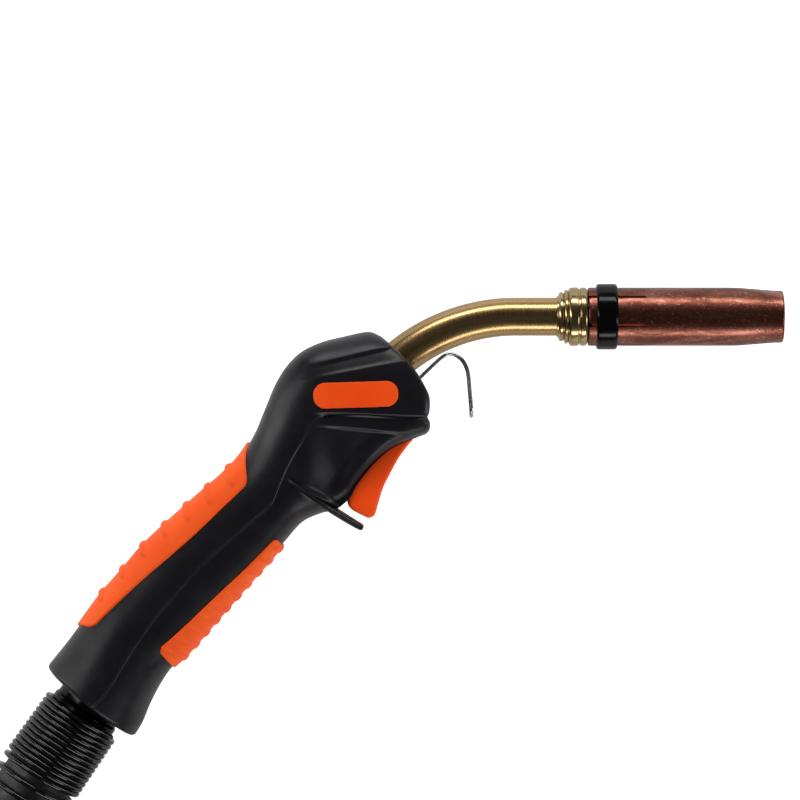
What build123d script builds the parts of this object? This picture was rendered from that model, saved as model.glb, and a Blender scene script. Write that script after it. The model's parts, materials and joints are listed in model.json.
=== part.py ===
from build123d import *
import math
import os

os.makedirs("parts", exist_ok=True)

# A water-cooled MIG welding torch lying on its side. The neck, nozzle and handle lie in one plane
# parallel to XY, the nozzle points along +X and the trigger faces -Y. Millimetres throughout.

# Whole torch
MID_Z = 21.85  # height of the torch's own plane above the surface that it lies on
ORIGIN = (3.9, -47.1)  # middle of the torch's footprint, without the cable, in drawing coordinates
WALL = 2.6  # handle shell wall

# Nozzle end
NOZZLE_Y = 32.5  # nozzle axis
COLLAR_X = 61.4  # rear face of the collar
COLLAR_END_X = 73.0
NOZZLE_X = 73.3
NOZZLE_LENGTH = 76.0
NOZZLE_R = 11.4
NOZZLE_TIP_R = 10.2
NOZZLE_WALL = 1.6
SLOT_COUNT = 6
SLOT_LENGTH = 22.2
SLOT_WIDTH = 1.0
BAND_X = 76.4
BAND_WIDTH = 8.2
BAND_R = 12.95
TIP_R = 5.0
TIP_BORE_R = 0.7
TIP_END_X = NOZZLE_X + NOZZLE_LENGTH - 4.0
NOZZLE_TAPER = 18.0  # length of the taper at the nozzle's tip
SLOT_FIRST_DEG = 78.5
SEAT_R = 8.2  # insulator that the nozzle is pushed on to
HOLDER_R = 5.0
HOLDER_HEAD_R = 6.6

# Neck
NECK_R = 7.5
NECK_BEND_R = 71.6
NECK_BEND_X = 45.2  # where the bend starts
NECK_BEND = 50.0  # degrees
NECK_TAIL = 24.0  # straight length inside the handle
INSULATION_R = 6.3
CURRENT_R = 4.6
CURRENT_BORE = 2.6
LINER_R = 2.4
LINER_BORE = 1.1

# Hanging hook: one leg in the torch's plane, from its foot in the head to the tip
HOOK_WIRE_R = 0.75
HOOK_HALF = 6.0
HOOK_LEG = [(5.0, 5.9), (16.0, 16.4), (20.5, 18.4), (26.0, 14.2), (27.2, 4.0), (27.8, -6.4)]
HOOK_RADII = [6.0, 2.6, 5.0, 20.0, 1.2]  # arcs after the foot

# Handle: axis points, direction below -X in degrees, half thickness and half width
GRIP = [
    ((-47.4, -31.7), 40.0, 17.6, 18.0),
    ((-61.6, -46.4), 44.0, 17.7, 17.6),
    ((-80.1, -64.9), 46.5, 19.2, 18.2),
    ((-100.5, -87.6), 50.0, 19.4, 19.4),
    ((-111.6, -102.5), 52.5, 19.9, 20.6),
    ((-119.5, -116.1), 53.0, 21.85, 21.85),
]
GRIP_CORNER = 15.0
HEAD = [
    (-57.4, -16.0), (-51.5, -0.5), (-44.0, 13.5), (-33.0, 22.0), (-11.0, 27.0), (-6.5, 24.2),
    (9.8, 4.8), (11.6, -1.0), (10.9, -13.6), (4.6, -15.6), (-8.2, -23.3), (-16.8, -33.8),
    (-19.0, -38.2), (-27.3, -39.8), (-27.3, -44.8), (-35.1, -45.6), (-44.0, -52.5),
]
HEAD_CHAMFER = 5.0
PARTING = [
    (20.0, -6.6), (4.8, -7.1), (-19.6, -5.6), (-31.6, -6.6), (-40.6, -20.3), (-44.5, -26.1),
    (-48.0, -36.7), (-53.2, -43.7), (-73.1, -60.2), (-92.5, -81.5), (-104.1, -98.3), (-134.2, -138.3),
]
GUARD = [
    (-36.0, -38.0), (-27.3, -39.7), (-19.9, -44.2), (-13.8, -48.9), (-13.6, -50.4), (-14.7, -51.1),
    (-21.3, -47.5), (-27.3, -44.8), (-36.0, -44.5),
]
GUARD_HALF = 9.0
UPPER_PAD = [
    (-58.7, -15.6), (-55.3, -27.2), (-56.0, -30.4), (-67.3, -40.8), (-80.8, -53.7), (-100.3, -70.6),
    (-118.7, -88.6), (-125.5, -88.5), (-130.0, -80.0), (-95.0, -35.0), (-65.0, -12.0),
]
LOWER_PAD = [
    (-46.0, -54.2), (-59.5, -64.7), (-71.2, -75.7), (-84.1, -88.0), (-95.1, -98.7), (-93.8, -100.3),
    (-86.3, -106.0), (-65.0, -95.0), (-38.0, -60.0),
]
PAD_THICK = 1.2
SCREW_STATIONS = [((-80.1, -64.9), 46.5), ((-95.0, -81.5), 49.0)]
SCREW_SIDE = 11.2
SCREW_DEPTH = 14.3
SCREW_LENGTH = 16.5
BOSS_R = 2.8
BADGE_X, BADGE_Y, BADGE_TILT = -17.0, 2.0, 1.8
BADGE_LENGTH, BADGE_WIDTH, BADGE_THICK = 32.7, 9.9, 0.8

# Trigger and switch
PIVOT = (2.5, -11.0)
PIN_R = 1.5
TRIGGER_HALF = 11.0
TRIGGER = [
    (4.9, -14.8), (3.1, -17.6), (-0.4, -22.4), (-3.4, -27.8), (-6.4, -33.8), (-8.2, -39.4), (-9.4, -43.9),
    (-11.8, -45.7), (-13.3, -45.2), (-19.9, -41.5), (-20.6, -35.8), (-19.2, -32.4), (-15.4, -26.6),
    (-10.2, -21.7), (-5.6, -16.8), (0.2, -12.6),
]
TRIGGER_POCKET = [
    (-16.8, -39.6), (-12.6, -41.6), (-9.8, -33.0), (-4.4, -22.4), (-10.2, -24.8), (-15.6, -31.0),
]
TRIGGER_WALL = 2.4
TRIGGER_EYE_R = 3.2
PIN_LENGTH = 34.0
TRIGGER_SLOT = [
    (6.6, -24.0), (6.6, -7.6), (-1.5, -7.6), (-14.0, -19.0), (-26.0, -32.0), (-26.0, -38.9), (-20.0, -43.5),
]
BUTTON_FOOT = (-4.5, -16.0)
BUTTON_DIR = (-0.618, 0.786)  # the way the button is pushed
BUTTON_R = 1.0
BUTTON_PLAY = 0.17  # gap to the trigger at rest
SWITCH_GAP = 1.9  # button standing out of the switch
SWITCH_SIZE = (5.8, 12.8, 6.5)
SWITCH_SHIFT = -1.6  # middle of the switch, along itself, from the button
TAB_SHIFTS = (-2.0, 3.0)  # the two tabs, along the switch
TAB_SIZE = (2.8, 0.6, 1.2)
LEAD_R = 0.8
LEAD_HEIGHT = 7.4  # where the leads leave the tabs, from the switch's face
LEAD_ROUTE = [  # place and distance from the torch's plane
    ((-16.3, -18.8), 6.4), ((-28.0, -33.0), 6.4), ((-42.0, -31.0), 12.0), ((-66.0, -42.0), 12.5),
    ((-90.0, -66.0), 12.5),
]
LEAD_RADII = [1.6, 2.5, 5.0, 10.0, 30.0]

# Lines inside the handle
UNION_SIZE = (17.0, 19.0, 22.0)
UNION_OVERLAP = 8.0  # of the union over the neck's end
CLAMP_SIZE = (18.0, 34.0, 11.0)
CLAMP_BACK = 23.0  # front of the clamp ahead of the neck's end
LINES = {  # across and above the torch's plane, radius and bore radius
    "wire_conduit": (0.0, 0.0, 2.7, 1.8),
    "gas_hose": (5.7, 0.0, 2.8, 1.8),
    "water_hose": (0.0, 5.5, 2.6, 1.7),
    "power_cable": (-6.4, 0.0, 3.5, 0.0),
}
LINE_STOP = 13.0  # end of the lines ahead of the ball's centre
LINE_RUN = 22.0  # straight run at each end
LINE_BEND_R = 60.0

# Ball joint and cable
TAIL_DEG = 53.0  # direction of the handle's rear axis below -X
CABLE_DEG = 55.0  # direction of the cable's root below -X
BALL = (-115.1, -110.3)
BALL_R = 16.0
RIM = 7.3  # handle rim behind the ball's centre
RING_R = 18.2
RING_FLANGE_R = 19.1
RING_FRONT, RING_REAR = -8.0, 3.5
SLEEVE_R = 14.0
SLEEVE_END = 26.0
RUNNING = 0.05  # radial clearance of a running fit
CABLE_R = 14.0
SPRING_START = 15.2
SPRING_WIRE_R = 1.05
SPRING_R = 15.25  # middle of the wire
CLOSE_TURNS, CLOSE_PITCH = 12, 2.25
OPEN_TURNS, OPEN_PITCH = 4, 6.8

# Coil of the cable's far part, put away on the floor: two turns side by side and one on top
COIL_OUTER, COIL_INNER, COIL_TOP = 154.0, 126.0, 140.0
COIL_TOP_Z = 38.25
COIL_ENTRY = 178.0  # length from the ball's centre to where the outer turn starts
COIL_ENTRY_DEG = 145.0  # and its place on the turn
TOP_FROM_DEG, TOP_TO_DEG = 200.0, 296.0
TIE_DEG = 250.0
TIE_WIDTH = 25.0
TIE_THICK = 2.0
TIE_HALF = 31.2  # half the width over the two floor turns
TIE_LIFT = 2.0  # of its lower edge

# Machine connector, lying on the coil
TAIL_R = 142.0  # the cable's last corners, about the coil's centre
TAIL_DEG_FROM, TAIL_STEP, TAIL_CORNERS = 316.0, 20.0, 3
TAIL_Z = (39.75, 44.0, 50.5)
PLUG_DEG = 96.0
PLUG_GAP = 16.0  # bare cable between the last corner and the boot
CABLE_IN_BOOT = 30.0
BOOT_LENGTH = 40.0
HOUSING_LENGTH = 68.0
HOUSING_R = 20.5
NUT_R = 22.5
NUT_LENGTH = 24.0
FLANGE_R = 16.0
PLUG_PIN_R = 6.0
PLUG_PIN_LENGTH = 30.0
CORE_R = 6.0  # bore that the cable's lines pass through
GUIDE_R = 2.3
CONTACT_R = 2.0
CONTACT_OFFSET = 11.0

nodes = {}


def heading(degrees):
    """Unit vector pointing back and down from the nozzle, at an angle below -X."""
    angle = math.radians(degrees)
    return Vector(-math.cos(angle), -math.sin(angle), 0)


def bearing(degrees):
    """Unit vector at an angle from +X."""
    angle = math.radians(degrees)
    return Vector(math.cos(angle), math.sin(angle), 0)


def at(point, z=MID_Z):
    return Vector(point[0], point[1], z)


def along(origin, direction):
    """Working plane whose local Z runs along direction and whose local Y points up."""
    direction = Vector(*direction)
    sideways = Vector(0, 0, 1).cross(direction)
    return Plane(origin=tuple(origin), x_dir=tuple(sideways), z_dir=tuple(direction))


def bar(origin, direction, start, end, radius, bore=0.0):
    """Round bar or tube from start to end along a line."""
    solid = Cylinder(radius, end - start, align=(Align.CENTER, Align.CENTER, Align.MIN))
    if bore:
        solid -= Cylinder(bore, end - start, align=(Align.CENTER, Align.CENTER, Align.MIN))
    return along(origin, direction) * Pos(0, 0, start) * solid


def turned(origin, direction, profile):
    """Solid of revolution of (distance along, radius) points about a line."""
    outline = Polyline(*[(radius, 0, distance) for distance, radius in profile], close=True)
    solid = revolve(make_face(outline), Axis.Z, 360)
    return along(origin, direction) * solid


def plate(points, half):
    """Outline in the torch's plane, extruded to both sides of it."""
    face = make_face(Polyline(*points, close=True))
    return Pos(0, 0, MID_Z) * extrude(face, half, both=True)


def pipe(points, radii, radius, bore=0.0):
    """Tube along straight runs joined by tangent arcs."""
    path = FilletPolyline(*points, radius=radii)
    start = path @ 0
    plane = Plane(origin=start, z_dir=path % 0)
    ring = Circle(radius) - Circle(bore) if bore else Circle(radius)
    return sweep(plane * ring, path=path)


def arc_radii(points):
    """Arc radius for each corner: 0.45 of the shorter run over the tangent of half the turn."""
    radii = []
    for before, corner, after in zip(points, points[1:], points[2:]):
        run_in, run_out = corner - before, after - corner
        half_turn = math.radians(run_in.get_angle(run_out) / 2)
        radii.append(0.45 * min(run_in.length, run_out.length) / math.tan(half_turn))
    return radii


# ---------------------------------------------------------------- handle

def grip_section(station, inset):
    centre, degrees, half_thick, half_width = station
    plane = Plane(origin=tuple(at(centre)), x_dir=(0, 0, 1), z_dir=tuple(heading(degrees)))
    size = (2 * (half_width - inset), 2 * (half_thick - inset))
    return plane * RectangleRounded(*size, min(GRIP_CORNER, min(size) / 2 - 0.5) - inset)


def grip(inset):
    sections = [grip_section(station, inset) for station in GRIP]
    return loft(sections)


def head(inset):
    face = make_face(Polyline(*HEAD, close=True))
    if inset:
        face = offset(face, -inset, kind=Kind.INTERSECTION)
    solid = Pos(0, 0, MID_Z) * extrude(face, MID_Z - inset, both=True)
    rims = [e for e in solid.edges() if abs(abs(e.center().Z - MID_Z) - MID_Z + inset) < 0.01]
    return chamfer(rims, HEAD_CHAMFER)


def neck_points():
    bend = math.radians(NECK_BEND)
    tangent = NECK_BEND_R * math.tan(bend / 2)
    corner = Vector(NECK_BEND_X - tangent, NOZZLE_Y, MID_Z)
    end = corner + heading(NECK_BEND) * (tangent + NECK_TAIL)
    return [Vector(COLLAR_X, NOZZLE_Y, MID_Z), corner, end]


def neck_tube(radius, bore, front=COLLAR_X):
    points = neck_points()
    points[0] = Vector(front, NOZZLE_Y, MID_Z)
    return pipe(points, [NECK_BEND_R], radius, bore)


def upper_region():
    far = [(-260.0, -138.3), (-260.0, 120.0), (20.0, 120.0)]
    return plate(PARTING + far, 60.0)


def skins():
    """Outer handle and its cavity."""
    return head(0.0) + grip(0.0), head(WALL) + grip(WALL)


def tail_trim():
    """Everything behind the handle's rim."""
    return bar(at(BALL), heading(TAIL_DEG), RIM, RIM + 60, 60)


def pads():
    """Two soft pads on the outside of the grip."""
    layer = grip(-PAD_THICK) - grip(0.0)
    made = {}
    for name, points in (("upper_grip_pad", UPPER_PAD), ("lower_grip_pad", LOWER_PAD)):
        pad = (layer & plate(points, 60.0)) - head(0.0)
        made[name] = max(pad.solids(), key=lambda s: s.volume)
    return made


def badge(side):
    blank = SlotOverall(BADGE_LENGTH, BADGE_WIDTH)
    level = MID_Z + side * (MID_Z - BADGE_THICK)
    low = level if side > 0 else level - BADGE_THICK
    return Pos(BADGE_X, BADGE_Y, low) * Rot(0, 0, BADGE_TILT) * extrude(blank, BADGE_THICK)


def shells():
    outer, cavity = SKINS
    body = outer - cavity
    body += cavity & bar(at(BALL), heading(TAIL_DEG), RING_FRONT - 4, RIM, 60)
    body += plate(GUARD, GUARD_HALF) - cavity
    body -= tail_trim()
    tail = heading(TAIL_DEG)
    body -= bar(at(BALL), tail, RING_FRONT - 5, RIM + 1, RING_R + RUNNING)
    body -= bar(at(BALL), tail, -4.2, -1.0, RING_FLANGE_R + RUNNING)
    for side in (1, -1):
        body -= badge(side)
        boss = Pos(*PIVOT, MID_Z + side * 15.6) * Cylinder(4.2, 7.4)
        body += boss
    body -= Pos(*PIVOT, MID_Z) * Cylinder(PIN_R, 34)
    for foot, up in screw_axes():
        body += bar(foot, up, 0.5, SCREW_LENGTH + 1, BOSS_R) & cavity
    for screw in handle_screws():
        body -= screw
    for foot, up in screw_axes():
        body -= bar(foot, up, -12, 0, 2.6)
    body -= hook()
    body -= plate(TRIGGER_SLOT, TRIGGER_HALF + 0.4)
    body -= neck_tube(NECK_R, 0.0)
    upper = body & upper_region()
    lower = body - upper_region()
    made = {}
    for name, half in (("upper_shell", upper), ("lower_shell", lower)):
        made[name] = max(half.solids(), key=lambda s: s.volume)
    return made


def screw_axes():
    """Foot and direction of each shell screw, two on each side under the lower pad."""
    axes = []
    for centre, degrees in SCREW_STATIONS:
        up = Vector(0, 0, 1).cross(heading(degrees)) * -1
        for side in (1, -1):
            axes.append((at(centre) - up * SCREW_DEPTH + Vector(0, 0, side * SCREW_SIDE), up))
    return axes


def handle_screws():
    profile = [(0, 0), (0, 2.6), (2.0, 2.6), (2.0, 1.4), (SCREW_LENGTH, 1.4), (SCREW_LENGTH, 0)]
    return [turned(foot, up, profile) for foot, up in screw_axes()]


# ---------------------------------------------------------------- neck and nozzle

def nozzle_end():
    made = {}
    front = Vector(0, NOZZLE_Y, MID_Z)
    x = Vector(1, 0, 0)
    made["swan_neck"] = neck_tube(NECK_R, INSULATION_R)
    made["neck_insulation"] = neck_tube(INSULATION_R, CURRENT_R)
    made["current_tube"] = neck_tube(CURRENT_R, CURRENT_BORE)
    made["wire_liner"] = neck_tube(LINER_R, LINER_BORE)
    rings = [
        (COLLAR_X, CURRENT_R), (COLLAR_X, 9.4), (COLLAR_X + 0.4, 9.7), (COLLAR_X + 2.4, 9.7),
        (COLLAR_X + 2.4, 10.65), (COLLAR_X + 4.0, 10.65), (COLLAR_X + 4.0, 11.5),
        (COLLAR_X + 8.3, 11.5), (COLLAR_X + 8.4, 11.2), (COLLAR_X + 8.7, 11.2), (COLLAR_X + 8.8, 11.5),
        (COLLAR_END_X, 11.5), (COLLAR_END_X, SEAT_R), (COLLAR_X + 4.0, SEAT_R),
        (COLLAR_X + 4.0, CURRENT_R),
    ]
    made["neck_collar"] = turned(front, x, rings)
    head_end = COLLAR_END_X + 16.0
    tip_x = COLLAR_END_X + 22.0
    insulator = [
        (COLLAR_X + 4.2, HOLDER_R), (COLLAR_X + 4.2, SEAT_R), (head_end, SEAT_R),
        (head_end, HOLDER_HEAD_R), (COLLAR_END_X, HOLDER_HEAD_R), (COLLAR_END_X, HOLDER_R),
    ]
    made["neck_insulator"] = turned(front, x, insulator)
    holder = [
        (COLLAR_X, 1.2), (COLLAR_X, CURRENT_R), (COLLAR_X + 4.2, CURRENT_R), (COLLAR_X + 4.2, HOLDER_R),
        (COLLAR_END_X, HOLDER_R), (COLLAR_END_X, HOLDER_HEAD_R), (head_end, HOLDER_HEAD_R),
        (head_end, 5.2), (tip_x, 5.2), (tip_x, 1.2),
    ]
    made["tip_holder"] = turned(front, x, holder)
    diffuser = bar(front, x, head_end, head_end + 15.0, SEAT_R - 0.2, 5.3)
    for i in range(6):
        hole = Pos(head_end + 11.0, NOZZLE_Y, MID_Z) * Rot(60 * i, 0, 0) * Cylinder(0.9, 30)
        diffuser -= hole
    made["gas_diffuser"] = diffuser
    tip = [
        (tip_x, TIP_BORE_R), (tip_x, TIP_R), (TIP_END_X - 6, TIP_R), (TIP_END_X, 3.2),
        (TIP_END_X, TIP_BORE_R),
    ]
    made["contact_tip"] = turned(front, x, tip)
    made["gas_nozzle"] = nozzle(front, x)
    made["nozzle_band"] = bar(front, x, BAND_X, BAND_X + BAND_WIDTH, BAND_R, NOZZLE_R)
    return made


def nozzle(front, x):
    end = NOZZLE_X + NOZZLE_LENGTH
    taper = end - NOZZLE_TAPER
    bore = NOZZLE_R - NOZZLE_WALL
    grip_bore = SEAT_R + RUNNING
    profile = [
        (NOZZLE_X, grip_bore), (NOZZLE_X, NOZZLE_R), (taper, NOZZLE_R), (end, NOZZLE_TIP_R),
        (end, NOZZLE_TIP_R - NOZZLE_WALL), (taper, bore), (COLLAR_END_X + 18.0, bore),
        (COLLAR_END_X + 16.5, grip_bore),
    ]
    body = turned(front, x, profile)
    for i in range(SLOT_COUNT):
        spin = Rot(360 / SLOT_COUNT * i + SLOT_FIRST_DEG, 0, 0)
        slot = Pos(SLOT_LENGTH / 2, 0, NOZZLE_R) * Box(SLOT_LENGTH, SLOT_WIDTH, 10)
        body -= Pos(NOZZLE_X, NOZZLE_Y, MID_Z) * spin * slot
    return body


def hook():
    """Sprung wire loop on the head that hangs the torch up."""
    left = [at(point, MID_Z + HOOK_HALF) for point in HOOK_LEG]
    right = [at(point, MID_Z - HOOK_HALF) for point in reversed(HOOK_LEG)]
    return pipe(left + right, HOOK_RADII + HOOK_RADII[::-1], HOOK_WIRE_R)


# ---------------------------------------------------------------- trigger and switch

def trigger():
    made = {}
    body = plate(TRIGGER, TRIGGER_HALF)
    body -= plate(TRIGGER_POCKET, TRIGGER_HALF - TRIGGER_WALL)
    body += Pos(*PIVOT, MID_Z) * Cylinder(TRIGGER_EYE_R, 2 * TRIGGER_HALF)
    body -= Pos(*PIVOT, MID_Z) * Cylinder(PIN_R + RUNNING, 2 * TRIGGER_HALF + 1)
    made["trigger"] = body
    made["trigger_pin"] = Pos(*PIVOT, MID_Z) * Cylinder(PIN_R, PIN_LENGTH)
    return made


def switch():
    made = {}
    push = Vector(*BUTTON_DIR, 0)
    foot = at(BUTTON_FOOT)
    face = foot + push * SWITCH_GAP
    plane = Plane(origin=tuple(face), x_dir=(0, 0, 1), z_dir=tuple(push))
    height = SWITCH_SIZE[2]
    body = plane * Pos(0, SWITCH_SHIFT, height / 2) * Box(*SWITCH_SIZE)
    body -= bar(foot, push, 0, SWITCH_GAP + 3.0, BUTTON_R + RUNNING)
    made["switch_body"] = body
    made["switch_button"] = bar(foot, push, BUTTON_PLAY, SWITCH_GAP + 1.6, BUTTON_R)
    tab = Box(*TAB_SIZE)
    tab_height = height + TAB_SIZE[2] / 2
    made["switch_terminals"] = [plane * Pos(0, shift, tab_height) * tab for shift in TAB_SHIFTS]
    made["trigger_leads"] = switch_leads(plane)
    return made


def switch_leads(plane):
    """Two thin wires from the switch's tabs back towards the ball joint."""
    leads = []
    for shift, side in zip(TAB_SHIFTS, (1, -1)):
        start = plane.from_local_coords(Vector(side * TAB_SIZE[0] / 2, shift, LEAD_HEIGHT))
        points = [start, start + Vector(0, 0, side * 5.0)]
        for place, out in LEAD_ROUTE:
            points.append(at(place, MID_Z + side * out))
        leads.append(pipe(points, LEAD_RADII, LEAD_R))
    return leads


def inner_lines():
    """Union at the neck's end, its clamp, and the four lines from it back to the ball joint."""
    made = {}
    neck_end = neck_points()[-1]
    back = heading(NECK_BEND)
    foot = (Align.CENTER, Align.CENTER, Align.MIN)
    block = along(neck_end - back * UNION_OVERLAP, back) * Box(*UNION_SIZE, align=foot)
    block -= bar(neck_end, back, -UNION_OVERLAP - 1, 0, NECK_R)
    block -= bar(neck_end, back, -1, 20, LINER_R)
    made["union_block"] = block
    clamp = along(neck_end - back * CLAMP_BACK, back) * Box(*CLAMP_SIZE, align=foot)
    clamp -= bar(neck_end, back, -CLAMP_BACK - 1, 0, NECK_R)
    made["neck_clamp"] = clamp
    tail = heading(TAIL_DEG)
    start = neck_end + back * (UNION_SIZE[2] - UNION_OVERLAP)
    end = at(BALL) - tail * LINE_STOP
    up = Vector(0, 0, 1)
    for name, (across, high, radius, bore) in LINES.items():
        first = start + up.cross(back) * across + up * high
        last = end + up.cross(tail) * across + up * high
        points = [first, first + back * LINE_RUN, last - tail * LINE_RUN, last]
        made[name] = pipe(points, [LINE_BEND_R, LINE_BEND_R], radius, bore)
    return made


# ---------------------------------------------------------------- ball joint, spring and cable

def ball_joint():
    made = {}
    tail = heading(TAIL_DEG)
    made["ball_socket_ring"] = along(at(BALL), tail) * socket_ring()
    cable = heading(CABLE_DEG)
    ball = Pos(*BALL, MID_Z) * Sphere(BALL_R)
    ball -= bar(at(BALL), cable, -BALL_R, -9.0, 20)
    ball += bar(at(BALL), cable, 0, SLEEVE_END, SLEEVE_R)
    ball -= bar(at(BALL), cable, -BALL_R, SLEEVE_END, 11.0)
    made["ball_sleeve"] = ball
    made["support_spring"] = support_spring(cable)
    return made


def socket_ring():
    """Ring with a spherical seat, about its own Z axis."""
    outline = [
        (1, RING_FRONT), (RING_R, RING_FRONT), (RING_R, -4.1), (RING_FLANGE_R, -4.1), (RING_FLANGE_R, -1.1),
        (RING_R, -1.1), (RING_R, RING_REAR), (1, RING_REAR),
    ]
    section = make_face(Polyline(*outline, close=True)) - Circle(BALL_R + RUNNING)
    section = max(section.faces(), key=lambda f: f.area)
    return Rot(90, 0, 0) * revolve(section, Axis.Y, 360)


def support_spring(cable):
    """Wire spring on the cable's root: close turns on the sleeve, then open ones."""
    coils = []
    start = SPRING_START
    for turns, pitch in ((CLOSE_TURNS, CLOSE_PITCH), (OPEN_TURNS, OPEN_PITCH)):
        path = Helix(pitch, turns * pitch, SPRING_R)
        section = Plane(origin=path @ 0, z_dir=path % 0) * Circle(SPRING_WIRE_R)
        coil = sweep(section, path=path, is_frenet=True)
        coils.append(along(at(BALL), cable) * Pos(0, 0, start) * coil)
        start += turns * pitch
    return coils


def cable_route():
    """Cable from the sleeve to the coil: out along the sleeve's axis, then down to the floor."""
    cable = heading(CABLE_DEG)
    stations = [(SLEEVE_END, MID_Z), (76.0, MID_Z), (127.0, 17.5), (COIL_ENTRY, CABLE_R)]
    return [at(BALL, z) + cable * distance for distance, z in stations]


def coil_centre(z=0.0):
    """The cable runs into the outer turn along its tangent."""
    entry = at(BALL, z) + heading(CABLE_DEG) * COIL_ENTRY
    return entry - bearing(COIL_ENTRY_DEG) * COIL_OUTER


def tail_route():
    """Cable from the coil's top turn up to the connector."""
    points = [coil_centre(COIL_TOP_Z) + bearing(TOP_TO_DEG) * COIL_TOP]
    for i in range(TAIL_CORNERS):
        points.append(coil_centre(TAIL_Z[i]) + bearing(TAIL_DEG_FROM + TAIL_STEP * i) * TAIL_R)
    return points + [points[-1] + bearing(PLUG_DEG) * (PLUG_GAP + CABLE_IN_BOOT)]


def plug_start():
    return tail_route()[-2] + bearing(PLUG_DEG) * PLUG_GAP


def cable_nodes():
    made = {}
    route = cable_route()
    radii = arc_radii(route)
    print("cable arc radii", [round(r) for r in radii])
    made["cable_sheath"] = pipe(route, radii, CABLE_R)
    tail = tail_route()
    tail_radii = arc_radii(tail)
    print("tail arc radii", [round(r) for r in tail_radii])
    made["cable_tail"] = pipe(tail, tail_radii, CABLE_R)
    for name, points in (("cable_sheath", route), ("cable_tail", tail)):
        wire = FilletPolyline(*points, radius=arc_radii(points))
        expected = math.pi * CABLE_R**2 * wire.length
        print(name, "volume", round(made[name].volume), "section x length", round(expected))
    lower = Plane.XZ * Pos((COIL_OUTER + COIL_INNER) / 2, CABLE_R) * RectangleRounded(56, 2 * CABLE_R, 13.5)
    coil = revolve(lower, Axis.Z, 360)
    top = Plane.XZ * Pos(COIL_TOP, COIL_TOP_Z) * Circle(CABLE_R)
    coil += Rot(0, 0, TOP_FROM_DEG) * revolve(top, Axis.Z, TOP_TO_DEG - TOP_FROM_DEG)
    made["cable_coil"] = Pos(*coil_centre()) * coil
    made["coil_tie"] = coil_tie()
    return made


def coil_tie():
    """Strap round the three turns."""
    outline = [
        (-TIE_HALF, TIE_LIFT), (-TIE_HALF, 22), (-13.8, 55.2), (13.8, 55.2), (TIE_HALF, 22),
        (TIE_HALF, TIE_LIFT),
    ]
    inside = TIE_HALF - TIE_THICK
    opening = [(-inside, 0), (-inside, 21.4), (-12.8, 53.2), (12.8, 53.2), (inside, 21.4), (inside, 0)]
    ring = make_face(Polyline(*outline, close=True)) - make_face(Polyline(*opening, close=True))
    spot = coil_centre() + bearing(TIE_DEG) * COIL_TOP
    out = bearing(TIE_DEG)
    plane = Plane(origin=tuple(spot), x_dir=tuple(out), z_dir=tuple(bearing(TIE_DEG - 90)))
    return plane * extrude(ring, TIE_WIDTH / 2, both=True)


def connector():
    made = {}
    way = bearing(PLUG_DEG)
    start = plug_start()
    cable_end = CABLE_IN_BOOT
    boot = [
        (0, CABLE_R), (0, 16.0), (BOOT_LENGTH, 18.5), (BOOT_LENGTH, CORE_R), (cable_end, CORE_R),
        (cable_end, CABLE_R),
    ]
    made["connector_boot"] = turned(start, way, boot)
    a = BOOT_LENGTH
    b = a + HOUSING_LENGTH
    seat = FLANGE_R - 2
    inner = HOUSING_R - 3
    housing = [
        (a, CORE_R), (a, 19.0), (a + 4, HOUSING_R), (b - 6, HOUSING_R), (b, 18.0),
        (b, seat), (b - 12, seat), (b - 12, inner), (a + 4, inner), (a + 4, CORE_R),
    ]
    shell = turned(start, way, housing)
    made["connector_housing"] = shell
    flange = b + 8
    nut_front = b + 1 + NUT_LENGTH
    pin_end = flange + PLUG_PIN_LENGTH
    adapter = [
        (b - 22, 0), (b - 22, 8), (b - 12, 8), (b - 12, seat), (b, seat), (b, FLANGE_R), (flange, FLANGE_R),
        (flange, PLUG_PIN_R), (pin_end - 1, PLUG_PIN_R), (pin_end, PLUG_PIN_R - 1), (pin_end, 0),
    ]
    body = turned(start, way, adapter)
    body -= bar(start, way, flange + 6, pin_end + 1, GUIDE_R)
    groove = pin_end - 8
    body -= bar(start, way, groove, groove + 2.0, 10, PLUG_PIN_R - 2.0)
    plane = along(start, way)
    for side in (1, -1):
        body -= plane * Pos(side * CONTACT_OFFSET, 0, flange - 8) * Cylinder(
            CONTACT_R + RUNNING, 9, align=(Align.CENTER, Align.CENTER, Align.MIN))
    made["adapter_block"] = body
    made["wire_guide_tube"] = bar(start, way, flange + 6, pin_end + 12, GUIDE_R, 1.2)
    ring = plane * Pos(0, 0, groove + 1.0) * Torus(PLUG_PIN_R - 1.0, 0.98)
    made["gas_seal_ring"] = ring
    thread = FLANGE_R + 1.7
    collar = FLANGE_R + 0.3
    nut = [
        (b + 1, collar), (b + 1, NUT_R - 1.5), (b + 2.5, NUT_R), (nut_front - 1.5, NUT_R),
        (nut_front, NUT_R - 1.5), (nut_front, thread), (b + 12, thread), (b + 12, collar),
    ]
    made["connector_nut"] = turned(start, way, nut)
    for number, side in ((1, 1), (2, -1)):
        pin = Cylinder(CONTACT_R, 10, align=(Align.CENTER, Align.CENTER, Align.MIN))
        made[f"contact_pin_{number}"] = plane * Pos(side * CONTACT_OFFSET, 0, flange - 4) * pin
    screws = []
    for distance in (a + 14, b - 20):
        screw = Cylinder(2.8, 1.2, align=(Align.CENTER, Align.CENTER, Align.MIN))
        screw += Pos(0, 0, -5) * Cylinder(1.4, 5.2, align=(Align.CENTER, Align.CENTER, Align.MIN))
        spot = start + way * distance + Vector(0, 0, HOUSING_R - 1.2)
        screws.append(Pos(*tuple(spot)) * screw)
    made["housing_screws"] = screws
    for screw in screws:
        made["connector_housing"] -= screw
    return made


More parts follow.
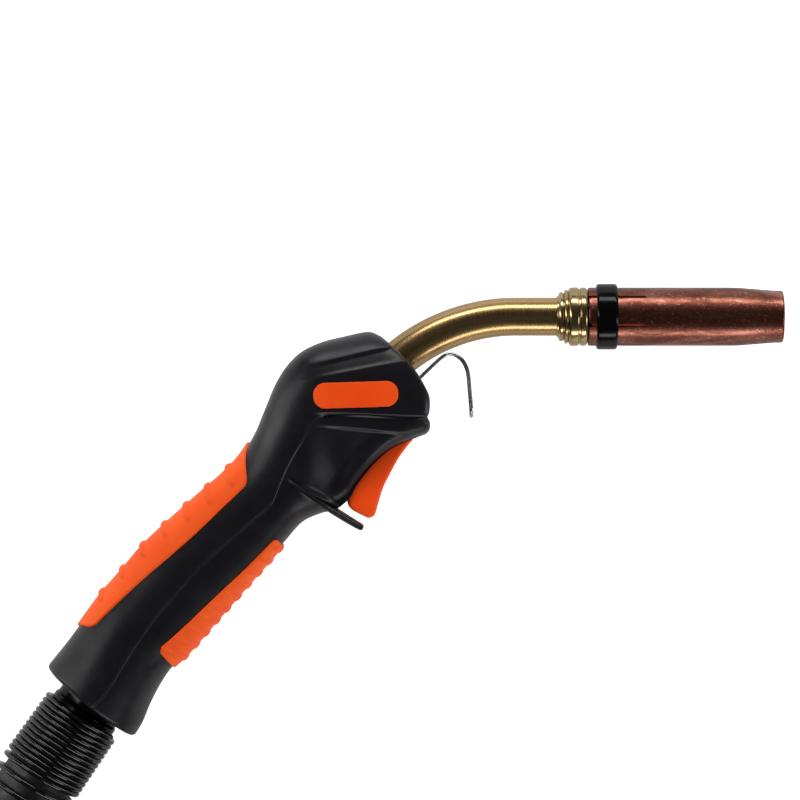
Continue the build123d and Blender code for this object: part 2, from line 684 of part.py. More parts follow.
SKINS = skins()
nodes.update(pads())
nodes.update(shells())
nodes["badge_left"] = badge(1)
nodes["badge_right"] = badge(-1)
nodes["handle_screws"] = handle_screws()
nodes.update(nozzle_end())
nodes["torch_hook"] = hook()
nodes.update(trigger())
nodes.update(switch())
nodes.update(inner_lines())
nodes.update(ball_joint())
nodes.update(cable_nodes())
nodes.update(connector())

ON_THE_CABLE = {
    "support_spring", "cable_sheath", "cable_tail", "cable_coil", "coil_tie", "connector_boot",
    "connector_housing", "adapter_block", "wire_guide_tube", "gas_seal_ring", "connector_nut",
    "contact_pin_1", "contact_pin_2", "housing_screws",
}

torch = []
for name, shape in nodes.items():
    solids = []
    for item in shape if isinstance(shape, list) else [shape]:
        solids.extend(item.solids())
    moved = Pos(-ORIGIN[0], -ORIGIN[1], 0) * Compound(children=solids)
    if name not in ON_THE_CABLE:
        torch.append(moved.bounding_box())
    export_step(moved, f"parts/{name}.step")
print("x", min(b.min.X for b in torch), max(b.max.X for b in torch))
print("y", min(b.min.Y for b in torch), max(b.max.Y for b in torch))
print("z", min(b.min.Z for b in torch), max(b.max.Z for b in torch))
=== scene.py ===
import json
import math

import bmesh
import bpy
import numpy as np
from mathutils import Matrix, Vector
from mathutils.geometry import tessellate_polygon


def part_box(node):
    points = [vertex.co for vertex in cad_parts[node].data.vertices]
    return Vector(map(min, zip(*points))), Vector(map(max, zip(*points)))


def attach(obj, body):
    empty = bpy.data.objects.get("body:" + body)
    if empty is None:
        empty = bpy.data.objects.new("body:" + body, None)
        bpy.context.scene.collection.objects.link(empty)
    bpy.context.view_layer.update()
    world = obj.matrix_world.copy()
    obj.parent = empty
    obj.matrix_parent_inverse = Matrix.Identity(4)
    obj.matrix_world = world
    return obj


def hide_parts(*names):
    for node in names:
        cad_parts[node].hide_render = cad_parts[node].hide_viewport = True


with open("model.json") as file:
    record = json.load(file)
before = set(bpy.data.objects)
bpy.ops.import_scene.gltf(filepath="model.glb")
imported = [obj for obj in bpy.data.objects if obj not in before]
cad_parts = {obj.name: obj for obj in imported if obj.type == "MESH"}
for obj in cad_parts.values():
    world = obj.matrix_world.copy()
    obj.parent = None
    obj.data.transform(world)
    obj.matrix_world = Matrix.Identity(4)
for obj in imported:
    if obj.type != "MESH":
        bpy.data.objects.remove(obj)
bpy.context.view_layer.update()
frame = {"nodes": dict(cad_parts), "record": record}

# Drawing coordinates are millimetres in the torch's plane; frame coordinates are metres.
MM = 0.001
NOZZLE_LOW, NOZZLE_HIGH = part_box("gas_nozzle")
NOZZLE_END_X = 149.3
NOZZLE_Y = 32.5
ORIGIN_X = NOZZLE_END_X - NOZZLE_HIGH[0] / MM
ORIGIN_Y = NOZZLE_Y - (NOZZLE_LOW[1] + NOZZLE_HIGH[1]) / 2 / MM
MID = (NOZZLE_LOW[2] + NOZZLE_HIGH[2]) / 2


def spot(x, y, z=0.0):
    """Frame position of a drawing point, z millimetres above the torch's own plane."""
    return Vector(((x - ORIGIN_X) * MM, (y - ORIGIN_Y) * MM, MID + z * MM))


def heading(degrees):
    """Unit vector at an angle below -X in the torch's plane."""
    angle = math.radians(degrees)
    return Vector((-math.cos(angle), -math.sin(angle), 0))


def bearing(degrees):
    """Unit vector at an angle from +X on the floor."""
    angle = math.radians(degrees)
    return Vector((math.cos(angle), math.sin(angle), 0))


# ---------------------------------------------------------------- materials

class Shader:
    """A node material built around one Principled BSDF."""

    def __init__(self, name, color, roughness, metallic=0.0, **sockets):
        self.material = bpy.data.materials.new(name)
        self.material.use_nodes = True
        self.tree = self.material.node_tree
        self.bsdf = self.tree.nodes["Principled BSDF"]
        self.bsdf.inputs["Base Color"].default_value = (*color, 1)
        self.bsdf.inputs["Roughness"].default_value = roughness
        self.bsdf.inputs["Metallic"].default_value = metallic
        for socket, value in sockets.items():
            self.bsdf.inputs[socket.replace("_", " ")].default_value = value
        self.coords = self.tree.nodes.new("ShaderNodeTexCoord").outputs["Object"]

    def link(self, a, b):
        self.tree.links.new(a, b)

    def node(self, kind, output, **inputs):
        """One output of a new node, whose inputs are numbers or the outputs of other nodes."""
        node = self.tree.nodes.new("ShaderNode" + kind)
        for key, value in inputs.items():
            socket = node.inputs[key.replace("_", " ")]
            if isinstance(value, bpy.types.NodeSocket):
                self.link(value, socket)
            else:
                socket.default_value = value
        return node.outputs[output]

    def scaled(self, scale):
        """Coordinates stretched per axis."""
        return self.node("Mapping", "Vector", Scale=scale, Vector=self.coords)

    def noise(self, scale, detail=4.0, roughness=0.55, vector=None, distortion=0.0):
        return self.node("TexNoise", "Fac", Scale=scale, Detail=detail, Roughness=roughness,
                         Distortion=distortion, Vector=vector or self.coords)

    def cells(self, scale, randomness):
        return self.node("TexVoronoi", "Distance", Scale=scale, Randomness=randomness, Vector=self.coords)

    def ramp(self, value, stops):
        """Colour ramp; stops are (position, colour)."""
        node = self.tree.nodes.new("ShaderNodeValToRGB")
        elements = node.color_ramp.elements
        while len(elements) < len(stops):
            elements.new(0.5)
        for element, (position, color) in zip(elements, stops):
            element.position = position
            element.color = (*color, 1)
        self.link(value, node.inputs["Fac"])
        return node.outputs["Color"]

    def range(self, value, low, high, to_low, to_high):
        return self.node("MapRange", "Result", Value=value, From_Min=low, From_Max=high,
                         To_Min=to_low, To_Max=to_high)

    def mix(self, factor, a, b):
        """Colour output a towards the colour b, by a factor output."""
        node = self.tree.nodes.new("ShaderNodeMix")
        node.data_type = "RGBA"
        colors = [s for s in node.inputs if s.type == "RGBA"]
        self.link(a, colors[0])
        colors[1].default_value = (*b, 1)
        self.link(factor, node.inputs["Factor"])
        return [s for s in node.outputs if s.type == "RGBA"][0]

    def bump(self, height, strength, distance):
        """Bump on top of the bumps that are there already."""
        normal = self.bsdf.inputs["Normal"]
        below = {"Normal": normal.links[0].from_socket} if normal.links else {}
        bumped = self.node("Bump", "Normal", Strength=strength, Distance=distance, Height=height, **below)
        self.link(bumped, normal)

    def color(self, output):
        self.link(output, self.bsdf.inputs["Base Color"])

    def rough(self, output):
        self.link(output, self.bsdf.inputs["Roughness"])


def worked(name, color, roughness, tone, stops, rough, grains, metallic=0.0, specular=0.5):
    """A worked material: tone is the noise under the colour stops, rough is a noise scale and the roughness
    that it runs between, and each grain is a noise with a bump's strength and distance."""
    s = Shader(name, color, roughness, metallic)
    s.bsdf.inputs["Specular IOR Level"].default_value = specular
    s.color(s.ramp(s.noise(*tone), stops))
    s.rough(s.range(s.noise(rough[0], 3), 0.3, 0.7, rough[1], rough[2]))
    for *noise, strength, distance in grains:
        s.bump(s.noise(*noise), strength, distance)
    return s.material


def orange(name, low, high, roughness, grain):
    """Soft orange moulding: slightly uneven colour, faint grain and handling dust."""
    return worked(name, high, roughness, (40, 4, 0.6), [(0.3, low), (0.72, high)],
                  (210, roughness - 0.05, roughness + 0.1), [(grain, 2, 0.6, 0.22, 0.0001)], specular=0.22)


def worn_brass(s, fine, tone, stops, wear, worn, rough, strength=0.12, distance=0.00005):
    """Brass in uneven tones, darkened over a range of its fine noise, which also sets how rough it is."""
    s.color(s.mix(s.range(fine, *wear), s.ramp(tone, stops), worn))
    s.rough(s.range(fine, 0.3, 0.7, *rough))
    s.bump(fine, strength, distance)
    return s.material


def brass():
    """Drawn brass with a warm uneven tarnish."""
    s = Shader("brass", (0.58, 0.40, 0.14), 0.3, 1.0)
    stops = [(0.25, (0.40, 0.245, 0.085)), (0.55, (0.56, 0.375, 0.155)), (0.8, (0.64, 0.45, 0.21))]
    return worn_brass(s, s.noise(1500, 3, 0.7), s.noise(60, 5, 0.6), stops,
                      (0.35, 0.75, 0.0, 0.35), (0.26, 0.15, 0.05), (0.22, 0.34))


def turned_brass():
    """Machined brass, smooth, with the tool's fine rings round its axis."""
    s = Shader("turned_brass", (0.62, 0.45, 0.18), 0.2, 1.0)
    return worn_brass(s, s.noise(1.0, 3, 0.6, s.scaled((9000, 60, 60))), s.noise(90, 4, 0.6),
                      [(0.3, (0.31, 0.22, 0.098)), (0.7, (0.44, 0.335, 0.175))],
                      (0.4, 0.7, 0.0, 0.25), (0.34, 0.22, 0.08), (0.16, 0.26), 0.08, 0.00004)


def brushed_brass():
    """Drawn brass tube, brushed round: UVs run round the tube and along it in metres."""
    s = Shader("brushed_brass", (0.55, 0.37, 0.14), 0.28, 1.0)
    s.coords = s.tree.nodes.new("ShaderNodeTexCoord").outputs["UV"]
    stops = [(0.3, (0.27, 0.165, 0.066)), (0.55, (0.40, 0.265, 0.120)), (0.75, (0.50, 0.355, 0.180))]
    return worn_brass(s, s.noise(1.0, 4, 0.7, s.scaled((6, 5200, 1))),
                      s.noise(1.0, 3, 0.6, s.scaled((16, 9, 1))), stops,
                      (0.45, 0.75, 0.0, 0.5), (0.25, 0.145, 0.05), (0.2, 0.34))


def copper():
    """Bare copper nozzle: mottled oxide, dark pink-brown, with bright speckle."""
    s = Shader("copper", (0.45, 0.17, 0.10), 0.36, 1.0)
    stretched = s.scaled((0.35, 1.0, 1.0))
    clouds = s.noise(170, 8, 0.68, stretched, 0.8)
    base = s.ramp(clouds, [
        (0.25, (0.060, 0.015, 0.010)), (0.42, (0.115, 0.034, 0.022)), (0.55, (0.180, 0.064, 0.042)),
        (0.68, (0.270, 0.112, 0.080)), (0.85, (0.46, 0.235, 0.175))])
    speck = s.noise(1500, 4, 0.75, s.scaled((0.6, 1.0, 1.0)))
    bright = s.range(speck, 0.58, 0.74, 0.0, 0.75)
    dark = s.range(s.noise(800, 5, 0.7), 0.56, 0.7, 0.0, 0.65)
    tone = s.mix(bright, base, (0.80, 0.50, 0.40))
    s.color(s.mix(dark, tone, (0.10, 0.03, 0.018)))
    s.rough(s.range(clouds, 0.3, 0.75, 0.42, 0.24))
    s.bump(speck, 0.3, 0.00008)
    s.bump(clouds, 0.15, 0.0002)
    return s.material


def plain(name, color, roughness, metallic=0.0, grain=900, strength=0.15, spread=0.25, specular=0.5):
    """A material for small parts: the colour spread both ways, and fine grain."""
    low = tuple(c * (1 - spread) for c in color)
    high = tuple(min(1.0, c * (1 + spread)) for c in color)
    return worked(name, color, roughness, (120, 4), [(0.3, low), (0.7, high)],
                  (260, roughness * 0.85, min(1.0, roughness * 1.2)), [(grain, 3, strength, 0.00008)],
                  metallic, specular)


def strap_cloth():
    """Woven hook-and-loop strap."""
    s = Shader("strap", (0.02, 0.02, 0.022), 0.85)
    weave = s.cells(1400, 0.2)
    s.color(s.ramp(weave, [(0.2, (0.035, 0.035, 0.038)), (0.7, (0.012, 0.012, 0.013))]))
    s.bump(weave, 0.6, 0.0004)
    s.bsdf.inputs["Sheen Weight"].default_value = 0.3
    return s.material


BLACK_STEEL = (0.004, 0.004, 0.005)
BLACK_PLASTIC = (0.002, 0.002, 0.0025)
MATERIALS = {
    # Charcoal glass-filled nylon: fine spark-eroded grain, satin
    "shell_plastic": worked(
        "shell_plastic", (0.010, 0.0085, 0.0125), 0.4, (55, 5, 0.6),
        [(0.3, (0.0040, 0.0033, 0.0054)), (0.7, (0.0070, 0.0058, 0.0090))], (130, 0.32, 0.42),
        [(2600, 2, 0.6, 0.22, 0.0001), (420, 3, 0.06, 0.0002)], specular=0.3),
    "grip_rubber": orange("grip_rubber", (0.94, 0.085, 0.003), (1.0, 0.125, 0.006), 0.5, 1900),
    "orange_plastic": orange("orange_plastic", (0.96, 0.072, 0.004), (1.0, 0.098, 0.007), 0.42, 2600),
    "brass": brass(),
    "copper": copper(),
    "steel": plain("steel", (0.42, 0.42, 0.44), 0.25, 1.0, 1200, 0.1),
    "black_steel": plain("black_steel", BLACK_STEEL, 0.12, 0.0, 700, 0.04, 0.2, 0.4),
    "black_plastic": plain("black_plastic", BLACK_PLASTIC, 0.15, 0.0, 1300, 0.04, 0.25, 0.12),
    # Black cable sheath, slightly dusty
    "sheath_rubber": worked(
        "sheath_rubber", (0.012, 0.012, 0.013), 0.5, (90, 5),
        [(0.3, (0.004, 0.004, 0.0045)), (0.75, (0.009, 0.009, 0.0095))], (300, 0.4, 0.6),
        [(900, 3, 0.6, 0.3, 0.0002)]),
    "ceramic": plain("ceramic", (0.72, 0.69, 0.62), 0.6, 0.0, 700, 0.2, 0.06),
    "ptfe": plain("ptfe", (0.74, 0.74, 0.72), 0.45, 0.0, 500, 0.1, 0.05),
    "blue_hose": plain("blue_hose", (0.02, 0.09, 0.45), 0.45),
    "red_hose": plain("red_hose", (0.5, 0.02, 0.02), 0.45),
    "strap": strap_cloth(),
}
NODE_SLOT = {part["node"]: part["material_slot"] for part in frame["record"]["subparts"]}
NODE_BODY = {node: body for body, nodes in frame["record"]["behaviour"]["bodies"].items() for node in nodes}
for node, piece in frame["nodes"].items():
    piece.data.materials.clear()
    piece.data.materials.append(MATERIALS[NODE_SLOT[node]])


# ---------------------------------------------------------------- mesh helpers

def put(name, data):
    """New object in the scene."""
    item = bpy.data.objects.new(name, data)
    bpy.context.scene.collection.objects.link(item)
    return item


def new_mesh(name, verts, faces):
    mesh = bpy.data.meshes.new(name)
    mesh.from_pydata([tuple(v) for v in verts], [], faces)
    return mesh


def baked(item):
    """Mesh of an object with its modifiers applied."""
    return bpy.data.meshes.new_from_object(item.evaluated_get(bpy.context.evaluated_depsgraph_get()))


def rework(mesh, weld=0.0, sharp=180.0):
    """Welds vertices closer than weld, turns the faces outward and marks edges sharper than an angle."""
    bm = bmesh.new()
    bm.from_mesh(mesh)
    if weld:
        bmesh.ops.remove_doubles(bm, verts=bm.verts, dist=weld)
        bmesh.ops.dissolve_degenerate(bm, dist=weld, edges=bm.edges)
    bmesh.ops.recalc_face_normals(bm, faces=bm.faces)
    for edge in bm.edges:
        if len(edge.link_faces) == 2 and edge.calc_face_angle(0.0) > math.radians(sharp):
            edge.smooth = False
    bm.to_mesh(mesh)
    bm.free()


def finish_piece(name, mesh, node, angle=35.0):
    """A mesh becomes the piece that replaces a CAD node and rides where it rides."""
    rework(mesh, sharp=angle)
    mesh.polygons.foreach_set("use_smooth", [True] * len(mesh.polygons))
    piece = put(name, mesh)
    slot = NODE_SLOT[node]
    mesh.materials.clear()
    mesh.materials.append(MATERIALS[slot])
    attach(piece, NODE_BODY[node])
    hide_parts(node)
    return piece


def add(name, verts, faces, node, angle=35.0):
    mesh = new_mesh(name, verts, faces)
    mesh.validate()
    return finish_piece(name, mesh, node, angle)


def grid_faces(rows, columns, close_columns=False, close_rows=False):
    faces = []
    for i in range(rows if close_rows else rows - 1):
        for j in range(columns if close_columns else columns - 1):
            k, after = (j + 1) % columns, (i + 1) % rows
            faces.append((i * columns + j, i * columns + k, after * columns + k, after * columns + j))
    return faces


def ring_faces(rings, count):
    """Faces of a run of closed rings, and its two ends."""
    ends = [tuple(range(k * count, (k + 1) * count)) for k in (0, rings - 1)]
    return grid_faces(rings, count, True) + ends


def basis(direction):
    """Rotation that takes local Z to direction, with local Y up."""
    z = Vector(direction).normalized()
    x = Vector((0, 0, 1)).cross(z).normalized()
    return Matrix((x, z.cross(x), z)).transposed()


def lathe(origin, direction, profile, around=96):
    """Vertices and faces of a closed turned profile of (distance along, radius), in millimetres."""
    turn = basis(direction)
    verts = []
    for j in range(around):
        angle = 2 * math.pi * j / around
        for distance, radius in profile:
            local = Vector((radius * math.cos(angle), radius * math.sin(angle), distance)) * MM
            verts.append(Vector(origin) + turn @ local)
    return verts, grid_faces(around, len(profile), True, True)


def rounded(profile, radius, steps=4):
    """Closed profile with its corners rounded; a point may carry its own radius as a third value."""
    out = []
    count = len(profile)
    for i, point in enumerate(profile):
        here = Vector(point[:2])
        before, after = Vector(profile[i - 1][:2]), Vector(profile[(i + 1) % count][:2])
        to_before, to_after = before - here, after - here
        own = point[2] if len(point) > 2 else radius
        reach = min(own, 0.45 * to_before.length, 0.45 * to_after.length)
        if reach < 1e-4:
            out.append(tuple(here))
            continue
        start = here + to_before.normalized() * reach
        end = here + to_after.normalized() * reach
        for k in range(steps + 1):
            t = k / steps
            out.append(tuple(start * (1 - t) ** 2 + here * 2 * t * (1 - t) + end * t ** 2))
    return out


def turned_piece(name, node, origin, direction, profile, radius=0.3, around=96):
    return add(name, *lathe(origin, direction, rounded(profile, radius), around), node)


def smooth_path(points, samples, closed=False):
    """Catmull-Rom curve through points, as a numpy array."""
    pts = np.array(points, float)
    count = len(pts)
    out = []
    last = count if closed else count - 1
    for i in range(last):
        p0 = pts[(i - 1) % count] if closed or i > 0 else 2 * pts[0] - pts[1]
        p1, p2 = pts[i], pts[(i + 1) % count]
        p3 = pts[(i + 2) % count] if closed or i + 2 < count else 2 * pts[-1] - pts[-2]
        for k in range(samples):
            t = k / samples
            out.append(0.5 * (2 * p1 + (p2 - p0) * t + (2 * p0 - 5 * p1 + 4 * p2 - p3) * t ** 2
                              + (3 * p1 - p0 - 3 * p2 + p3) * t ** 3))
    if not closed:
        out.append(pts[-1])
    return np.array(out)


def tube_mesh(path, radius, around=24):
    """Round tube along points, in metres."""
    path = [Vector(p) for p in path]
    verts = []
    tangent = (path[1] - path[0]).normalized()
    normal = tangent.orthogonal().normalized()
    for i, point in enumerate(path):
        ahead = path[min(i + 1, len(path) - 1)] - path[max(i - 1, 0)]
        ahead.normalize()
        normal = (normal - ahead * normal.dot(ahead)).normalized()
        side = ahead.cross(normal)
        for j in range(around):
            angle = 2 * math.pi * j / around
            verts.append(point + (normal * math.cos(angle) + side * math.sin(angle)) * radius)
    return verts, ring_faces(len(path), around)


def travel_along(points):
    """Distance along a line of points, from its first."""
    return np.concatenate([[0], np.cumsum(np.linalg.norm(np.diff(points, axis=0), axis=1))])


# ---------------------------------------------------------------- handle skin

# Stations from the front face to the rear rim: back outline, parting line, trigger-side outline,
# half width, and the section's squareness (2 is an ellipse)
STATIONS = [
    ((-7.6, 25.0), (11.4, -6.6), (10.7, -13.3), 19.6, 5.0),
    ((-12.6, 26.6), (4.8, -7.1), (4.6, -15.6), 21.0, 5.0),
    ((-22.6, 24.6), (-5.0, -6.4), (-3.2, -19.2), 21.6, 5.0),
    ((-30.6, 22.5), (-15.0, -5.8), (-10.2, -25.4), 21.7, 4.6),
    ((-38.3, 18.8), (-24.0, -6.0), (-16.0, -32.6), 21.6, 4.2),
    ((-44.0, 13.3), (-31.6, -7.4), (-19.4, -38.4), 21.2, 3.8),
    ((-48.7, 5.8), (-37.0, -14.6), (-24.6, -42.4), 20.6, 3.4),
    ((-53.0, -4.6), (-41.8, -22.2), (-31.2, -44.3), 19.8, 3.1),
    ((-57.2, -14.2), (-46.0, -31.0), (-38.0, -47.5), 19.0, 2.9),
    ((-62.8, -22.6), (-49.9, -40.2), (-44.3, -54.4), 18.3, 2.8),
    ((-69.6, -29.6), (-56.5, -46.2), (-50.4, -61.6), 17.9, 2.8),
    ((-77.6, -36.5), (-64.0, -52.8), (-57.6, -69.6), 17.9, 2.8),
    ((-85.4, -43.4), (-72.0, -59.6), (-64.8, -77.8), 18.1, 2.8),
    ((-93.2, -50.4), (-80.0, -67.4), (-72.2, -86.2), 18.5, 2.7),
    ((-100.4, -57.4), (-87.0, -75.4), (-78.2, -93.2), 19.0, 2.6),
    ((-108.0, -66.4), (-94.0, -83.6), (-84.0, -99.6), 19.5, 2.5),
    ((-116.2, -75.8), (-100.2, -92.2), (-89.2, -104.6), 20.0, 2.4),
    ((-123.0, -85.0), (-105.4, -100.2), (-93.2, -110.4), 20.5, 2.3),
    ((-128.6, -92.8), (-109.6, -107.2), (-97.2, -118.0), 21.0, 2.2),
    ((-133.4, -98.8), (-113.8, -113.6), (-100.2, -125.2), 21.5, 2.1),
    ((-136.6, -102.8), (-117.8, -118.0), (-103.0, -130.0), 21.8, 2.0),
]
# How far the front face stands ahead of the line between its corners, by share of the way down
FRONT_BULGE = [
    (0.0, 0.0), (0.1, 2.0), (0.22, 4.0), (0.36, 5.4), (0.5, 5.5), (0.62, 4.9), (0.72, 3.0), (0.80, 0.9),
    (0.846, -0.5), (0.9, 0.5), (0.96, 0.5), (1.0, -0.6),
]
COLUMNS_PER_STATION = 20
ROWS_UPPER, ROWS_LOWER, ROWS_SLOT = 120, 64, 20
FRONT_ROUND = 2.2
FRONT_FADE = 1.6  # stations over which the front's bulge fades
SLOT_FADE = 0.55  # how much of the head's relief fades beside the trigger slot
SKIN_STEPS = 361
PARTING_GAP = 0.12
TONGUE_DEPTH, TONGUE_REACH = 2.0, 1.2
TONGUE_START, TONGUE_GROWTH = 2.0, 3.0  # distances behind the front face
GROOVE = (0.26, 0.07)  # how far the edges of the shells dip along the parting line
TRIGGER_SLOT_HALF = 12.4
TRIGGER_SLOT_STATIONS = (0.75, 5.7)


def line_distance(x, y, a, b):
    """Signed distance of points from the line a-b, positive on its left."""
    dx, dy = b[0] - a[0], b[1] - a[1]
    length = math.hypot(dx, dy)
    return (dx * (y - a[1]) - dy * (x - a[0])) / length


def line_share(x, y, a, b):
    """How far along the line a-b points are, 0 to 1 between its ends."""
    dx, dy = b[0] - a[0], b[1] - a[1]
    return (dx * (x - a[0]) + dy * (y - a[1])) / (dx * dx + dy * dy)


def ease(value):
    value = np.clip(value, 0, 1)
    return value * value * (3 - 2 * value)


def soft_plus(value, width):
    """Smooth max(0, value)."""
    return 0.5 * (value + np.sqrt(value * value + width * width))


FRONT_CURVE = smooth_path(FRONT_BULGE, 8)


class Skin:
    """The handle's outer surface: columns along the handle, and a fraction across it from the back
    outline (0) over the +Z side to the trigger-side outline (1), even in length."""

    def __init__(self):
        self.upper, self.parting, self.lower = (
            smooth_path([s[k] for s in STATIONS], COLUMNS_PER_STATION) for k in range(3))
        shape = smooth_path([(s[3], s[4]) for s in STATIONS], COLUMNS_PER_STATION)
        self.width, self.power = shape[:, 0], shape[:, 1]
        self.count = len(self.upper)
        self.from_front = travel_along(self.parting)
        first = np.linalg.norm(self.parting - self.upper, axis=1)
        second = np.linalg.norm(self.lower - self.parting, axis=1)
        self.splits = first / (first + second)
        ends = [self.across(c, np.array([0.0, self.splits[c], 1.0])) for c in range(self.count)]
        self.rails = np.array(ends).transpose(1, 0, 2)
        self.fractions = np.linspace(0, 1, SKIN_STEPS)
        rows = zip(*(self.row(c) for c in range(self.count)))
        self.table, self.shares, self.lengths = (np.array(values) for values in rows)

    def across(self, column, share):
        """Points in the torch's plane on a station line: 0 at the back, 1 at the trigger side."""
        upper, parting, lower = self.upper[column], self.parting[column], self.lower[column]
        split = self.splits[column]
        share = share[:, None]
        point = np.where(share < split, upper + (parting - upper) * share / split,
                         parting + (lower - parting) * (share - split) / (1 - split))
        fade = float(ease(1 - column / (FRONT_FADE * COLUMNS_PER_STATION)))
        push = np.interp(share[:, 0], FRONT_CURVE[:, 0], FRONT_CURVE[:, 1]) * fade
        return point + push[:, None] * np.array([1.0, 0.0])

    def row(self, column):
        """Evenly spaced points across one column, their shares, and the column's length."""
        power, width = self.power[column], self.width[column]
        cosine = np.cos(np.linspace(0, math.pi, SKIN_STEPS))
        round_ends = (1 - np.sign(cosine) * np.abs(cosine) ** (2 / power)) / 2
        share = np.sort(np.concatenate([round_ends, self.fractions]))
        plane = self.across(column, share)
        base = width * (1 - np.abs(1 - 2 * share) ** power) ** (1 / power)
        relief = head_relief(plane[:, 0], plane[:, 1]) * (1 - SLOT_FADE * ease((share - 0.78) / 0.2))
        rise = base - relief
        short = max(0.0, FRONT_ROUND - self.from_front[column])
        rise = rise - (FRONT_ROUND - math.sqrt(FRONT_ROUND ** 2 - short ** 2))
        points = np.column_stack([plane, np.maximum(rise, 0.0) * (base > 0)])
        travel = travel_along(points)
        length = travel[-1]
        even = [np.interp(self.fractions * length, travel, values) for values in (*points.T, share)]
        return np.column_stack(even[:3]), even[3], length

    def fraction(self, column, share):
        """Fraction across a fractional column for a share of its station line."""
        low = int(min(max(column, 0), self.count - 2))
        part = min(max(column - low, 0.0), 1.0)
        ends = [np.interp(share, self.shares[k], self.fractions) for k in (low, low + 1)]
        return ends[0] + (ends[1] - ends[0]) * part


CREASE_TOP = ((0.5, 21.2), (-42.5, 11.0))
CREASE_RIDGE = ((3.0, 15.2), (-38.5, 7.2))
CREASE_SHELF = ((11.0, -6.3), (-20.0, -5.2))
CREASE_WALL = ((10.0, -13.4), (-26.0, -10.0))
# Hollow over the trigger: its middle, how far it reaches along and across, and its depth
HOLLOW_X, HOLLOW_Y, HOLLOW_ALONG, HOLLOW_ACROSS, HOLLOW_DEPTH = -17.0, -24.0, 15.0, 12.0, 2.2
GUARD_RIDGE = ((-41.7, -32.0), (-24.0, -42.0))
GUARD_RIDGE_RISE = 2.6


def head_relief(x, y):
    """How far the head's side falls below its plateau at drawing points, in millimetres."""
    fade_back = ease((x + 42.0) / 22.0)
    above = line_distance(x, y, CREASE_RIDGE[1], CREASE_RIDGE[0])
    facet = (0.30 * soft_plus(above, 0.5) - 0.4 * np.exp(-(above / 0.9) ** 2)) * fade_back
    top = line_distance(x, y, CREASE_TOP[1], CREASE_TOP[0])
    step = -0.9 * ease((top + 1.0) / 2.0) * fade_back
    back_slope = 0.10 * soft_plus(top, 1.0) * fade_back
    below = -line_distance(x, y, CREASE_SHELF[1], CREASE_SHELF[0])
    fade_shelf = ease((x + 38.0) / 14.0)
    shelf = 1.5 * ease((below + 0.5) / 2.0) * fade_shelf
    under = -line_distance(x, y, CREASE_WALL[1], CREASE_WALL[0])
    wall = (0.9 * ease((under + 0.3) / 1.6) + 0.10 * soft_plus(under, 1.0)) * ease((x + 40.0) / 20.0)
    wall = wall * ease((under + 3.0) / 3.0)
    limit = ease((x + 48.0) / 10.0)
    bowl = ((x - HOLLOW_X) / HOLLOW_ALONG) ** 2 + ((y - HOLLOW_Y) / HOLLOW_ACROSS) ** 2
    hollow = HOLLOW_DEPTH * np.exp(-bowl)
    along, off = line_share(x, y, *GUARD_RIDGE), line_distance(x, y, *GUARD_RIDGE)
    ridge = GUARD_RIDGE_RISE * np.exp(-(off / 1.3) ** 2) * ease(along / 0.8) * (along < 1.6)
    return (facet + step + back_slope) * limit + (shelf + wall) * limit + hollow - ridge


def offset_grid(points, distance):
    """Moves a grid of points (rows, columns, 3) outwards along its own normals."""
    normal = np.cross(np.gradient(points, axis=1), np.gradient(points, axis=0))
    normal = normal / np.maximum(np.linalg.norm(normal, axis=2, keepdims=True), 1e-9)
    outward = points - points.mean(axis=1, keepdims=True)
    if (normal * outward).sum() < 0:
        normal = -normal
    return points + normal * distance[..., None]


def cubic_weights(t):
    """Catmull-Rom weights of the four samples round a fractional place."""
    return [
        0.5 * (-t + 2 * t ** 2 - t ** 3), 0.5 * (2 - 5 * t ** 2 + 3 * t ** 3),
        0.5 * (t + 4 * t ** 2 - 3 * t ** 3), 0.5 * (-t ** 2 + t ** 3)]


def skin_points(skin, columns, fractions):
    """Skin points at arrays of fractional columns and fractions across."""
    rows, cols = skin.table.shape[:2]
    column = np.clip(columns, 0, rows - 1.0001)
    place = np.clip(fractions * (cols - 1), 0, cols - 1.0001)
    c0, a0 = column.astype(int), place.astype(int)
    wc, wa = cubic_weights(column - c0), cubic_weights(place - a0)
    total = 0
    for i in range(4):
        ci = np.clip(c0 + i - 1, 0, rows - 1)
        for k in range(4):
            # The table is mirrored in Z beyond its ends
            raw = a0 + k - 1
            ai = np.where(raw < 0, -raw, np.where(raw > cols - 1, 2 * (cols - 1) - raw, raw))
            value = skin.table[ci, ai].copy()
            value[..., 2] *= np.where((raw < 0) | (raw > cols - 1), -1, 1)
            total = total + value * (wc[i] * wa[k])[..., None]
    return total


def slot_edge(skin, column):
    """Fraction across a column at which the trigger side of the skin is one slot's half width high."""
    table = skin.table[column]
    k = int(np.where(table[:, 2] >= TRIGGER_SLOT_HALF)[0][-1])
    above, below = table[k, 2], table[k + 1, 2]
    return (k + (above - TRIGGER_SLOT_HALF) / (above - below)) / (SKIN_STEPS - 1)


def tongue_share(skin, column):
    """The tongue grows from nothing over the first millimetres behind the front face."""
    return float(ease((skin.from_front[column] - TONGUE_START) / TONGUE_GROWTH))


